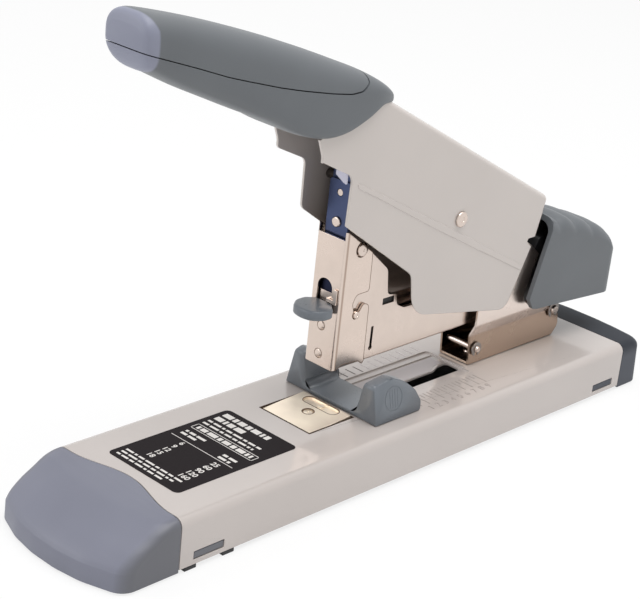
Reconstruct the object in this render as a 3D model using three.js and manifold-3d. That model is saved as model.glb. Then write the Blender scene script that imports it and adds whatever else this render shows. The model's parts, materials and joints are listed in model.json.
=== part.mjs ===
// Heavy-duty desk stapler: a steel base with plastic end caps, a folded magazine with its staple
// head, a pull-out staple loader at the rear and a long folded handle with a two-part grip.
// Millimetres. +Z is up, the base runs along Y and its front, under the grip, is at -Y.
import * as THREE from "three";
import { mergeVertices } from "three/addons/utils/BufferGeometryUtils.js";
import Module from "manifold-3d";

// ---------------------------------------------------------------- driving dimensions

const SEAT = 0.3; // gap between two pieces that are fastened together or rest on each other
const RUN = 0.5; // gap beside a piece that moves

// base
const BASE_LENGTH = 346.6;
const BASE_WIDTH = 76;
const DECK = 24; // height of the top of the base
const BASE_SHEET = 1.2;
const SKIRT_CLEARANCE = 2; // from the table up to the lower edge of the steel
const BASE_EDGE = 4; // bend radius along the top edges
const FRONT_CAP_LENGTH = 35.7; // along the sides
const CAP_TONGUE = 6.1; // how far the front cap laps on to the deck in the middle
const REAR_CAP_LENGTH = 21.1;
const CAP_WALL = 2.4;
const FOOT = { length: 22, width: 13, height: 0.9, inset: 3.5 };
const BOTTOM_SHEET = 0.8;
const SNAP = { length: 16, height: 3.6, rise: 4.2 }; // windows in the skirt for the caps' tabs

// staple path, from the crown width of the staples outwards
const CROWN = 13;
const MAGAZINE_SHEET = 0.8;
const COVER_SHEET = 1;
const BRACKET_SHEET = 1.1;
const BRACKET_FLARE = 2.7; // how far each bracket arm steps out above its crease
const FRAME_SHEET = 1.2;

// the head, measured along Y and up from the deck
const HEAD_FRONT = -28.1;
const HEAD_DEPTH = 18;
const HEAD_BOTTOM = 21.3;
const HEAD_TOP = 81.1;
const HEAD_PINS = [
  [-18, 75.6],
  [-17.5, 45.5],
];
const MAGAZINE_BOTTOM = 21;
const MAGAZINE_REAR = 122;
const MAGAZINE_HEIGHT = 20; // of its side walls behind the head
const RAIL_FRONT = -24;
const RAIL_HEIGHT = 16;
const EXIT_REAR = -23.5; // the staples leave in front of this
const SIGHT_SLOT_Y = -4;
const PUSHER_LENGTH = 33;

// pivots, as [Y, height above the deck]
const HANDLE_PIVOT = [40.1, 79.6];
const MAGAZINE_PIVOT = [128, 14.7];
const HANDLE_PIN_R = 2.5;
const MAGAZINE_PIN_R = 2.3;
const CROSS_ROD = { y: 69.8, h: 8, r: 1.6 };

// driver
const DRIVER_THICK = 0.9;
const DRIVER_TOP = 105;
const DRIVER_BOTTOM = 45;
const PUSH_BAR = { y: -21, h: 104, r: 2 };

// anvil and paper guide
const ANVIL = { front: -45.6, rear: -19.5, width: 29.2, pocket: 2.4, sink: 0.5, lift: 0.9 };
const GUIDE = { front: -18, depth: 20, inner: 31, ear: 11.5, height: 19, bar: 2.1 };
const GUIDE_SLOT = { left: 2.2, right: 8.5, front: -16, rear: 61.5 };
const GUIDE_GROOVE = [-10, -8.7];
const GROOVE_DEPTH = 1.4;
const DECK_PANEL = { width: 27.2, rear: 62.5, depth: 0.8 };
const LIFT_SPRING_Y = 92;

// rear knob
const KNOB_WALL = 2.4;
const KNOB_CLEARANCE = 1.4; // between the frame's side plates and the hood
const KNOB_REAR = 167;
const KNOB_SCREW_H = 25.6;
const CORE_FRONT = 98.3;
const CORE_WALL = 140; // front face of the core's solid rear end
const PUSHER_ROD = { drop: 7.1, r: 1.8 }; // its axis below the top of the rail

// handle: its top line falls to the rear and carries the grip on a tongue at the front
const FRAME_SLOPE = 0.5206;
const FRAME_TOP_AT_PIVOT = 32.6;
const FRAME_NOSE_Y = -17;
const TONGUE = { start: -10, end: -106, slope: 0.2955, half: 9, sink: 0.2 };
const GRIP_WALL = 2.2;
const GRIP_SCREWS = [-128, -66];
const GRIP_SEAM = 0.6;

// ---------------------------------------------------------------- derived sizes

const FRONT = -BASE_LENGTH / 2;
const REAR = BASE_LENGTH / 2;
const BASE_HALF = BASE_WIDTH / 2;
const CHANNEL_FRONT = FRONT + FRONT_CAP_LENGTH;
const CHANNEL_REAR = REAR - REAR_CAP_LENGTH;

const MAGAZINE_IN = CROWN / 2;
const MAGAZINE_OUT = MAGAZINE_IN + MAGAZINE_SHEET;
const COVER_IN = MAGAZINE_OUT + SEAT;
const COVER_OUT = COVER_IN + COVER_SHEET;
const BRACKET_IN = MAGAZINE_OUT + 0.4;
const BRACKET_OUT = BRACKET_IN + BRACKET_SHEET;
const ARM_IN = BRACKET_IN + BRACKET_FLARE;
const ARM_OUT = BRACKET_OUT + BRACKET_FLARE;
const FRAME_IN = ARM_OUT + RUN;
const FRAME_OUT = FRAME_IN + FRAME_SHEET;
const HOOD_IN = FRAME_OUT + KNOB_CLEARANCE;
const HOOD_OUT = HOOD_IN + KNOB_WALL;
const CORE_IN = MAGAZINE_OUT + SEAT;
const CORE_OUT = ARM_IN - 1.4;
const RAIL_OUT = MAGAZINE_IN - 1.2;
const RAIL_IN = RAIL_OUT - MAGAZINE_SHEET;
const RAIL_SLOT = 1.2;
const RAIL_BOTTOM = MAGAZINE_BOTTOM + MAGAZINE_SHEET + SEAT;
const RAIL_TOP = RAIL_BOTTOM + RAIL_HEIGHT;
const ROD_H = RAIL_TOP - PUSHER_ROD.drop;
const BAR_SPAN = [GUIDE.front, GUIDE.front + GUIDE.depth];
const LUG_DEPTH = BASE_SHEET + DECK_PANEL.depth + 1 + 2 * SEAT;
const WEB_DISTANCE = FRAME_TOP_AT_PIVOT / Math.hypot(1, FRAME_SLOPE);
const frameTop = (y) => HANDLE_PIVOT[1] + FRAME_TOP_AT_PIVOT - FRAME_SLOPE * (y - HANDLE_PIVOT[0]);
const tongueTop = (y) => frameTop(TONGUE.start) - TONGUE.sink + TONGUE.slope * (TONGUE.start - y);

// ---------------------------------------------------------------- shape helpers

const wasm = await Module();
wasm.setup();

// A closed three.js geometry as a solid that can be joined and cut.
function solid(geometry) {
  const bare = geometry.index ? geometry.toNonIndexed() : geometry.clone();
  bare.deleteAttribute("normal");
  bare.deleteAttribute("uv");
  const merged = mergeVertices(bare, 1e-4);
  return new wasm.Manifold(
    new wasm.Mesh({
      numProp: 3,
      vertProperties: new Float32Array(merged.attributes.position.array),
      triVerts: new Uint32Array(merged.index.array),
    }),
  );
}

function geometryOf(body) {
  const data = body.simplify(0.01).getMesh();
  const geometry = new THREE.BufferGeometry();
  geometry.setAttribute("position", new THREE.BufferAttribute(data.vertProperties, 3));
  geometry.setIndex(new THREE.BufferAttribute(data.triVerts, 1));
  geometry.computeVertexNormals();
  return geometry;
}

const join = (first, ...rest) => rest.reduce((sum, body) => sum.add(body), first);
const cut = (first, ...rest) => rest.reduce((left, body) => left.subtract(body), first);

function box(x0, x1, y0, y1, z0, z1) {
  const geometry = new THREE.BoxGeometry(x1 - x0, y1 - y0, z1 - z0);
  return solid(geometry.translate((x0 + x1) / 2, (y0 + y1) / 2, (z0 + z1) / 2));
}

// A closed outline from [a, b, radius] corners; a corner with no radius stays sharp. A number of
// steps for each rounded corner can be set, for rings that must match.
function outline(corners, steps = 0) {
  const points = [];
  const count = corners.length;
  corners.forEach(([a, b, radius = 0], i) => {
    const here = new THREE.Vector2(a, b);
    const before = new THREE.Vector2(...corners[(i + count - 1) % count].slice(0, 2)).sub(here);
    const after = new THREE.Vector2(...corners[(i + 1) % count].slice(0, 2)).sub(here);
    const half = before.angleTo(after) / 2;
    const reach = Math.min(radius / Math.tan(half), 0.49 * before.length(), 0.49 * after.length());
    if (reach < 0.01) {
      points.push(here);
      return;
    }
    const start = here.clone().addScaledVector(before.normalize(), reach);
    const end = here.clone().addScaledVector(after.normalize(), reach);
    const bisector = before.clone().add(after).normalize();
    const centre = here.clone().addScaledVector(bisector, reach / Math.cos(half));
    const turn = start.clone().sub(centre).angleTo(end.clone().sub(centre));
    const sense = Math.sign(start.clone().sub(centre).cross(end.clone().sub(centre)));
    const parts = steps || Math.ceil(turn / (radius < 2 ? 0.8 : 0.42));
    for (let k = 0; k <= parts; k++) {
      points.push(start.clone().rotateAround(centre, (sense * turn * k) / parts));
    }
  });
  return new THREE.Shape(points);
}

function extrude(shape, depth) {
  return new THREE.ExtrudeGeometry(shape, { depth, bevelEnabled: false, curveSegments: 24 });
}

// Outlines drawn as [y, z] and given thickness along X, as [x, z] along Y, and as [x, y] along Z.
function alongX(shape, x0, x1) {
  const basis = new THREE.Matrix4().set(0, 0, 1, x0, 1, 0, 0, 0, 0, 1, 0, 0, 0, 0, 0, 1);
  return solid(extrude(shape, x1 - x0).applyMatrix4(basis));
}

function alongY(shape, y0, y1) {
  return solid(extrude(shape, y1 - y0).rotateX(Math.PI / 2).translate(0, y1, 0));
}

function alongZ(shape, z0, z1) {
  return solid(extrude(shape, z1 - z0).translate(0, 0, z0));
}

// An outline drawn as [x, height across the slope], run from one [y, z] point forward to another.
function alongSlope(shape, from, to) {
  const run = new THREE.Vector3(0, to[0] - from[0], to[1] - from[1]);
  const way = run.clone().normalize();
  const across = new THREE.Vector3().crossVectors(way, new THREE.Vector3(1, 0, 0));
  const basis = new THREE.Matrix4().makeBasis(new THREE.Vector3(1, 0, 0), across, way);
  basis.setPosition(0, from[0], from[1]);
  return solid(extrude(shape, run.length()).applyMatrix4(basis));
}

// The same outline on both sides of the object.
function bothSides(shape, x0, x1) {
  return join(alongX(shape, x0, x1), alongX(shape, -x1, -x0));
}

function rodX(y, z, r, x0, x1, sides = 12) {
  const geometry = new THREE.CylinderGeometry(r, r, x1 - x0, sides).rotateZ(Math.PI / 2);
  return solid(geometry.translate((x0 + x1) / 2, y, z));
}

function rodZ(x, y, r, z0, z1, sides = 12) {
  const geometry = new THREE.CylinderGeometry(r, r, z1 - z0, sides).rotateX(Math.PI / 2);
  return solid(geometry.translate(x, y, (z0 + z1) / 2));
}

function rodY(x, z, r, y0, y1, sides = 12) {
  const geometry = new THREE.CylinderGeometry(r, r, y1 - y0, sides);
  return solid(geometry.translate(x, (y0 + y1) / 2, z));
}

// A turned piece standing on Z, from its [radius, height] profile.
function turnedZ(profile, x, y, sides = 12) {
  const points = profile.map(([r, z]) => new THREE.Vector2(r, z));
  return solid(new THREE.LatheGeometry(points, sides).rotateX(Math.PI / 2).translate(x, y, 0));
}

// A turned piece lying on X.
function turnedX(profile, y, z, sides = 12) {
  const points = profile.map(([r, x]) => new THREE.Vector2(r, x));
  return solid(new THREE.LatheGeometry(points, sides).rotateZ(-Math.PI / 2).translate(0, y, z));
}

const roundBox = (width, top, bottom, r) =>
  outline([
    [-width / 2, bottom],
    [width / 2, bottom],
    [width / 2, top, r],
    [-width / 2, top, r],
  ]);

const ringAt = (shape, z) => shape.getPoints().map((p) => new THREE.Vector3(p.x, p.y, z));

// A body skinned over rings that all have the same number of points.
function loft(rings) {
  const size = rings[0].length;
  const last = (rings.length - 1) * size;
  const positions = rings.flat().flatMap((point) => [point.x, point.y, point.z]);
  const index = [];
  for (let i = 0; i + 1 < rings.length; i++) {
    for (let k = 0; k < size; k++) {
      const a = i * size + k;
      const b = i * size + ((k + 1) % size);
      index.push(a, b, b + size, a, b + size, a + size);
    }
  }
  for (let k = 1; k + 1 < size; k++) {
    index.push(0, k + 1, k);
    index.push(last, last + k, last + k + 1);
  }
  const geometry = new THREE.BufferGeometry();
  geometry.setAttribute("position", new THREE.Float32BufferAttribute(positions, 3));
  geometry.setIndex(index);
  return solid(geometry);
}

// A moulding along Y from stations [y, top, bottom, half width]. Its section is a rounded
// rectangle: power sets how square it is, and inset draws it in by a wall.
function moulding(stations, { steps = 20, sides = 32, power = 3.2, inset = 0 } = {}) {
  const curves = [1, 2, 3].map((k) => {
    const points = stations.map((station) => new THREE.Vector3(station[0], station[k], 0));
    return new THREE.CatmullRomCurve3(points, false, "catmullrom");
  });
  const rings = [];
  for (let i = 0; i <= steps; i++) {
    const [top, bottom, half] = curves.map((curve) => curve.getPoint(i / steps));
    const middle = (top.y + bottom.y) / 2;
    const tall = (top.y - bottom.y) / 2 - inset;
    const wide = half.y - inset;
    const ring = [];
    for (let k = 0; k < sides; k++) {
      const angle = (-2 * Math.PI * k) / sides;
      const c = Math.cos(angle);
      const s = Math.sin(angle);
      const x = Math.sign(c) * Math.abs(c) ** (2 / power) * wide;
      const z = Math.sign(s) * Math.abs(s) ** (2 / power) * tall;
      ring.push(new THREE.Vector3(x, top.x, middle + z));
    }
    rings.push(ring);
  }
  return loft(rings);
}

// A coil spring: a wire swept along a helix about a start point, with straight or no tails.
function coil({ centre, axis, length, radius, wire, turns, tails = [[], []], perTurn = 8 }) {
  const way = new THREE.Vector3(...axis);
  const side = Math.abs(way.x) > 0.5 ? new THREE.Vector3(0, 1, 0) : new THREE.Vector3(1, 0, 0);
  const other = new THREE.Vector3().crossVectors(way, side);
  const points = [];
  for (let i = 0; i <= turns * perTurn; i++) {
    const angle = (2 * Math.PI * i) / perTurn;
    const point = new THREE.Vector3(...centre)
      .addScaledVector(way, (length * i) / (turns * perTurn))
      .addScaledVector(side, radius * Math.cos(angle))
      .addScaledVector(other, radius * Math.sin(angle));
    points.push(point);
  }
  const lead = tails[0].map((p) => new THREE.Vector3(...p));
  const trail = tails[1].map((p) => new THREE.Vector3(...p));
  const path = new THREE.CatmullRomCurve3([...lead, ...points, ...trail]);
  const section = [];
  for (let i = 0; i < 4; i++) {
    const angle = (2 * Math.PI * (i + 0.5)) / 4;
    section.push(new THREE.Vector2((Math.cos(angle) * wire) / 2, (Math.sin(angle) * wire) / 2));
  }
  const geometry = new THREE.ExtrudeGeometry(new THREE.Shape(section), {
    steps: path.points.length - 1,
    bevelEnabled: false,
    extrudePath: path,
  });
  return solid(geometry);
}

// ---------------------------------------------------------------- materials

const surface = (color, roughness, metalness) => () =>
  new THREE.MeshStandardMaterial({ color, roughness, metalness });

const PAINTED_STEEL = surface("#d3cbc4", 0.32, 0);
const NICKEL = surface("#d8ccc0", 0.28, 0.9);
const HARD_STEEL = surface("#9a9692", 0.35, 0.9);
const SPRING_STEEL = surface("#b9b6b0", 0.3, 0.9);
const BLUED_STEEL = surface("#3d4668", 0.35, 0.4);
const GREY_PLASTIC = surface("#6c6f74", 0.5, 0);
const CAP_PLASTIC = surface("#7d808e", 0.5, 0);
const BLACK_PLASTIC = surface("#1c1c1e", 0.45, 0);
const RUBBER = surface("#222222", 0.9, 0);

// ---------------------------------------------------------------- base, measured up from the table

const UNDER_DECK = DECK - BASE_SHEET;
const BASE_IN = BASE_HALF - BASE_SHEET;
const PANEL_HALF = DECK_PANEL.width / 2;
const POCKET_HALF = ANVIL.width / 2 + 2 * SEAT;
const POCKET_FRONT = ANVIL.front - 2 * SEAT;
const POCKET_REAR = ANVIL.rear + 2 * SEAT;
const ANVIL_RIVET_Y = ANVIL.front + 14;
const SNAP_STARTS = [CHANNEL_FRONT + 7.4, CHANNEL_REAR - 5.7 - SNAP.length];
const BRACKET_RIVETS = [CROSS_ROD.y + 8, MAGAZINE_PIVOT[0] - 10];
const RIVET_R = 1.8;
const CAP_BOTTOM = 0.9;
const PLATE = { front: CHANNEL_FRONT - 8, rear: CHANNEL_REAR + 6, bottom: 0.9, top: 0.9 + BOTTOM_SHEET };

// The edge between the deck and the front cap: straight near the sides, lapping back in the middle.
function deckEdge(x) {
  const across = Math.min(Math.abs(x) / (0.8 * BASE_HALF), 1);
  return CHANNEL_FRONT + (CAP_TONGUE * (1 + Math.cos(Math.PI * across))) / 2;
}

// Everything in front of that edge moved back by a gap, in plan.
function aheadOfDeck(gap) {
  const side = BASE_HALF + 2;
  const edge = [];
  for (let i = -12; i <= 12; i++) {
    const x = (i / 12) * side;
    edge.push(new THREE.Vector2(x, deckEdge(x) + gap));
  }
  return new THREE.Shape([
    ...edge,
    new THREE.Vector2(side, FRONT - 5),
    new THREE.Vector2(-side, FRONT - 5),
  ]);
}

// Box-section bar with the base's rounded top edges, drawn in on every side by inset.
const baseBar = (inset, bottom, y0, y1) =>
  alongY(roundBox(BASE_WIDTH - 2 * inset, DECK - inset, bottom, BASE_EDGE - inset / 2), y0, y1);

function baseChannel() {
  const front = CHANNEL_FRONT - 10;
  const shell = cut(
    baseBar(0, SKIRT_CLEARANCE, front, CHANNEL_REAR),
    baseBar(BASE_SHEET, SKIRT_CLEARANCE - 1, front - 1, CHANNEL_REAR + 1),
  );
  // the anvil pocket and the guide's panel are pressed down into the deck
  const skins = [
    box(
      -POCKET_HALF - BASE_SHEET,
      POCKET_HALF + BASE_SHEET,
      POCKET_FRONT - BASE_SHEET,
      POCKET_REAR + BASE_SHEET,
      UNDER_DECK - ANVIL.pocket,
      DECK - BASE_SHEET / 2,
    ),
    box(
      -PANEL_HALF - BASE_SHEET,
      PANEL_HALF + BASE_SHEET,
      POCKET_REAR,
      DECK_PANEL.rear + BASE_SHEET,
      UNDER_DECK - DECK_PANEL.depth,
      DECK - BASE_SHEET / 2,
    ),
  ];
  const pressings = [
    box(-POCKET_HALF, POCKET_HALF, POCKET_FRONT, POCKET_REAR, DECK - ANVIL.pocket, DECK + 1),
    box(
      -PANEL_HALF,
      PANEL_HALF,
      POCKET_REAR + BASE_SHEET,
      DECK_PANEL.rear,
      DECK - DECK_PANEL.depth,
      DECK + 1,
    ),
  ];
  const slot = outline([
    [GUIDE_SLOT.left, GUIDE_SLOT.front, 2],
    [GUIDE_SLOT.right, GUIDE_SLOT.front, 2],
    [GUIDE_SLOT.right, GUIDE_SLOT.rear, 2.8],
    [GUIDE_SLOT.left - 3.6, GUIDE_SLOT.rear, 0.8],
    [GUIDE_SLOT.left, (GUIDE_SLOT.front + 2 * GUIDE_SLOT.rear) / 3],
  ]);
  const holes = [
    alongZ(slot, UNDER_DECK - 3, DECK + 1),
    box(...GUIDE_GROOVE, GUIDE_SLOT.front, GUIDE_SLOT.rear, DECK - GROOVE_DEPTH, DECK + 1),
    rodZ(0, ANVIL_RIVET_Y, 1.5 + SEAT, UNDER_DECK - ANVIL.pocket - 1, DECK),
    ...BRACKET_RIVETS.map((y) => rodZ(0, y, RIVET_R + SEAT, UNDER_DECK - 1, DECK + 1)),
    ...SNAP_STARTS.map((y) =>
      box(
        -BASE_HALF - 1,
        BASE_HALF + 1,
        y,
        y + SNAP.length,
        SNAP.rise,
        SNAP.rise + SNAP.height,
      ),
    ),
  ];
  const ahead = alongZ(aheadOfDeck(SEAT), -1, DECK + 1);
  return cut(join(shell, ...skins), ...pressings, ...holes, ahead);
}

// Wings inside the skirt, with the tabs that snap into its windows, and a ledge under the deck.
function capTongue(y0, y1, snap) {
  const half = BASE_IN - SEAT;
  const ledge = box(-half + 8, half - 8, y0, y1, UNDER_DECK - SEAT - CAP_WALL, UNDER_DECK - SEAT);
  const wings = [-1, 1].map((side) => {
    const [x0, x1] = [side * (half - CAP_WALL), side * half].sort((a, b) => a - b);
    const wing = box(x0, x1, y0, y1, SKIRT_CLEARANCE + 0.5, SNAP.rise + SNAP.height + 6);
    const [t0, t1] = [side * (half - 1), side * (BASE_HALF - 0.2)].sort((a, b) => a - b);
    const tab = box(
      t0,
      t1,
      snap + SEAT,
      snap + SNAP.length - SEAT,
      SNAP.rise + SEAT,
      SNAP.rise + SNAP.height - SEAT,
    );
    return join(wing, tab);
  });
  return join(ledge, ...wings);
}

// The nose of the front cap, skinned over level outlines [height, how far its front is drawn back,
// how much of the front's bow is left]. The sides close in with the base's rounded top edges.
const NOSE = [
  [7 - DECK, 0.2, 1],
  [10 - DECK, 2.8, 1],
  [14.5 - DECK, 7.3, 1],
  [18.4 - DECK, 12.8, 1],
  [20.8 - DECK, 17.3, 0.9],
  [22.4 - DECK, 21.3, 0.7],
  [23.4 - DECK, 25.3, 0.4],
  [0, 32, 0.1],
];

function noseBlock(inset, bottom, rows = NOSE) {
  const level = (z, back, bow) => {
    const bend = Math.max(z - DECK + inset + BASE_EDGE, 0);
    const edge = BASE_EDGE - Math.sqrt(Math.max(BASE_EDGE ** 2 - bend ** 2, 0));
    const half = BASE_HALF - inset - edge;
    const front = FRONT + inset + back;
    const corners = [
      [-half, CHANNEL_FRONT + 10],
      [-half, front + 11 * bow, 10],
      [-0.53 * half, front + 2.6 * bow, 30],
      [-0.18 * half, front, 30],
      [0.18 * half, front, 30],
      [0.53 * half, front + 2.6 * bow, 30],
      [half, front + 11 * bow, 10],
      [half, CHANNEL_FRONT + 10],
    ];
    return ringAt(outline(corners, 2), z);
  };
  const rings = rows.map(([rise, back, bow]) => level(DECK - inset + rise, back, bow));
  return loft([level(bottom, 0, 1), ...rings]);
}

function frontCap() {
  const behind = alongZ(aheadOfDeck(0), -5, DECK + 1);
  const hollow = noseBlock(CAP_WALL, CAP_BOTTOM - 1, NOSE.filter((row, i) => i % 2));
  const shell = cut(noseBlock(0, CAP_BOTTOM).intersect(behind), hollow);
  const tongue = capTongue(CHANNEL_FRONT - 4, SNAP_STARTS[0] + SNAP.length + 2, SNAP_STARTS[0]);
  return join(shell, tongue);
}

function rearCap() {
  // the rear wall leans forward as it rises, and the top edge is rounded
  const level = (z, inset, lean, edge) => {
    const half = BASE_HALF - inset - edge;
    const rear = REAR - inset - lean - edge;
    const corners = [
      [-half, CHANNEL_REAR + SEAT - 8],
      [half, CHANNEL_REAR + SEAT - 8],
      [half, rear - 3.1, 7],
      [0.55 * half, rear - 0.9, 30],
      [0.2 * half, rear, 30],
      [-0.2 * half, rear, 30],
      [-0.55 * half, rear - 0.9, 30],
      [-half, rear - 3.1, 7],
    ];
    return ringAt(outline(corners, 4), z);
  };
  const r = BASE_EDGE;
  const block = (inset, bottom) =>
    loft([
      level(bottom, inset, 0, 0),
      level(DECK - inset - r, inset, 1.6, 0),
      level(DECK - inset - 0.55 * r, inset, 2, 0.12 * r),
      level(DECK - inset - 0.2 * r, inset, 2.2, 0.4 * r),
      level(DECK - inset, inset, 2.4, r),
    ]);
  const shell = cut(block(0, CAP_BOTTOM), block(CAP_WALL, CAP_BOTTOM - 1));
  const ahead = box(-50, 50, CHANNEL_REAR - 20, CHANNEL_REAR + SEAT, -5, DECK + 5);
  const tongue = capTongue(SNAP_STARTS[1] - 2, CHANNEL_REAR + 4, SNAP_STARTS[1]);
  return join(cut(shell, ahead), tongue);
}

function bottomPlate() {
  const half = BASE_HALF - CAP_WALL - 0.8;
  const sheet = box(-half, half, PLATE.front, PLATE.rear, PLATE.bottom, PLATE.top);
  const tabs = [CHANNEL_FRONT + 3, CHANNEL_FRONT + 23].map((y) =>
    box(-BASE_HALF + 0.5, BASE_HALF - 0.5, y, y + 6, PLATE.bottom, PLATE.top),
  );
  const holes = footSpots().map(([x, y]) => rodZ(x, y, 2.2 + SEAT, PLATE.bottom - 1, PLATE.top + 1, 10));
  return cut(join(sheet, ...tabs), ...holes);
}

function footSpots() {
  const x = BASE_HALF - FOOT.inset - FOOT.width / 2;
  const inward = FOOT.inset + FOOT.length / 2;
  return [
    [-x, PLATE.front + inward],
    [x, PLATE.front + inward],
    [-x, PLATE.rear - inward],
    [x, PLATE.rear - inward],
  ];
}

// A rubber pad with a stem that pushes through the bottom plate.
function foot(x, y) {
  const pad = outline([
    [x - FOOT.width / 2, y - FOOT.length / 2, 3],
    [x + FOOT.width / 2, y - FOOT.length / 2, 3],
    [x + FOOT.width / 2, y + FOOT.length / 2, 3],
    [x - FOOT.width / 2, y + FOOT.length / 2, 3],
  ]);
  const stem = [
    [0, 0.2],
    [2, 0.2],
    [2, PLATE.top + SEAT],
    [2.8, PLATE.top + SEAT + 0.1],
    [1.4, PLATE.top + 2],
    [0, PLATE.top + 2],
  ];
  return join(alongZ(pad, 0, PLATE.bottom - SEAT), turnedZ(stem, x, y, 10));
}

const anvilTop = (y) => {
  const along = (y - ANVIL.front) / (ANVIL.rear - ANVIL.front);
  return DECK - ANVIL.sink + along * (ANVIL.sink + ANVIL.lift);
};

function anvilPlate() {
  const half = ANVIL.width / 2;
  const floor = DECK - ANVIL.pocket + SEAT;
  const wedge = outline([
    [ANVIL.front, floor],
    [ANVIL.rear, floor],
    [ANVIL.rear, anvilTop(ANVIL.rear), 0.5],
    [ANVIL.front, anvilTop(ANVIL.front), 0.5],
  ]);
  const groove = outline([
    [-10, ANVIL.rear - 6.8, 2.8],
    [9.5, ANVIL.rear - 6.8, 2.8],
    [9.5, ANVIL.rear - 1, 2.8],
    [-10, ANVIL.rear - 1, 2.8],
  ]);
  const top = anvilTop(ANVIL_RIVET_Y);
  return cut(
    alongX(wedge, -half, half),
    alongZ(groove, anvilTop(ANVIL.rear) - 1.1, DECK + 3),
    rodZ(0, ANVIL_RIVET_Y, 1.5 + SEAT, floor - 1, DECK + 2),
    rodZ(0, ANVIL_RIVET_Y, 2.2 + SEAT, top - 1, DECK + 2),
  );
}

function anvilRivet() {
  const top = anvilTop(ANVIL_RIVET_Y) - 0.25;
  const tail = UNDER_DECK - ANVIL.pocket - SEAT;
  return turnedZ(
    [
      [0, tail - 1.2],
      [2.2, tail - 1.2],
      [2.8, tail - 0.6],
      [2.8, tail],
      [1.5, tail],
      [1.5, top - 0.45],
      [2.2, top - 0.45],
      [2.2, top - 0.1],
      [0, top],
    ],
    0,
    ANVIL_RIVET_Y,
  );
}

// ---------------------------------------------------------------- guide and bracket, from the deck up

function paperGuide() {
  const half = GUIDE.inner / 2;
  const bar = box(-half - 2, half + 2, GUIDE.front, GUIDE.front + GUIDE.depth, SEAT, GUIDE.bar);
  const side = outline([
    [GUIDE.front, SEAT],
    [GUIDE.front + 31.6, SEAT],
    [GUIDE.front + 31.2, 3.4, 1.5],
    [GUIDE.front + 27.6, 9.2, 4],
    [GUIDE.front + 22, 13.6, 6],
    [GUIDE.front + 11.7, GUIDE.height, 6],
    [GUIDE.front, GUIDE.height - 1.4, 1.2],
  ]);
  const section = (inset) => [
    [half - 0.7 + inset, inset ? SEAT - 1 : SEAT],
    [half + GUIDE.ear + 0.6 - inset, inset ? SEAT - 1 : SEAT],
    [half + GUIDE.ear - 3.4 - inset, GUIDE.height + 0.1 - inset, 1.2],
    [half + 2.9 + inset, GUIDE.height + 0.1 - inset, 1.2],
  ];
  const mirrored = (corners) => corners.map(([x, z, r]) => [-x, z, r]);
  const ears = [section(0), mirrored(section(0))].map((corners) =>
    alongY(outline(corners), GUIDE.front, GUIDE.front + 36).intersect(alongX(side, -40, 40)),
  );
  const hollows = [section(1.8), mirrored(section(1.8))].map((corners) =>
    alongY(outline(corners), GUIDE.front + 2, GUIDE.front + 34).intersect(
      alongX(side, -40, 40).translate([0, -1.6, -1.8]),
    ),
  );
  const fillets = [-1, 1].map((hand) => {
    const r = 3.6;
    const x = hand * (half + 0.2 - r);
    const wedge = box(...[x, x + hand * (r + 1)].sort((a, b) => a - b), ...BAR_SPAN, SEAT, GUIDE.bar + r);
    return cut(wedge, rodY(x, GUIDE.bar + r, r, BAR_SPAN[0] - 1, BAR_SPAN[1] + 1, 32));
  });
  const lean = Math.atan(4 / (GUIDE.height - 0.2));
  const thumbs = [-1, 1].map((hand) => {
    const face = half + GUIDE.ear + 0.6 - 9.4 * Math.tan(lean);
    const recess = rodX(0, 0, 5.5, -0.5, 4, 28).rotate([0, (-180 * lean) / Math.PI, 0]);
    const near = recess.translate([face, GUIDE.front + 12, SEAT + 9.4]);
    return hand > 0 ? near : near.mirror([1, 0, 0]);
  });
  const lug = box(GUIDE_SLOT.left + 0.8, GUIDE_SLOT.right - 0.9, -14, -2, -LUG_DEPTH - 0.5, 1);
  const hook = box(GUIDE_SLOT.left + 0.4, GUIDE_SLOT.right - 0.5, -14.6, -1.4, -LUG_DEPTH - 1, -LUG_DEPTH);
  const rib = box(GUIDE_GROOVE[0] + SEAT, GUIDE_GROOVE[1] - SEAT, -14, 0, -GROOVE_DEPTH + 0.4, 1);
  return cut(join(bar, ...ears, ...fillets, lug, hook, rib), ...hollows, ...thumbs);
}

// The clip under the deck that the guide's lug hooks through.
function guideRetainer() {
  const top = -BASE_SHEET - DECK_PANEL.depth - SEAT;
  const clip = box(GUIDE_SLOT.left - 3.5, GUIDE_SLOT.right + 3.5, -15.6, 0.6, top - 1, top);
  const hole = box(GUIDE_SLOT.left + 0.5, GUIDE_SLOT.right - 0.6, -14.3, -1.7, top - 2, top + 1);
  return cut(clip, hole);
}

// The point on a circle where a line from outside touches it, on either side.
function tangentPoint([y, h], [cy, ch], r, side) {
  const away = Math.atan2(h - ch, y - cy);
  const turn = side * Math.acos(r / Math.hypot(h - ch, y - cy));
  return [cy + r * Math.cos(away + turn), ch + r * Math.sin(away + turn)];
}

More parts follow.
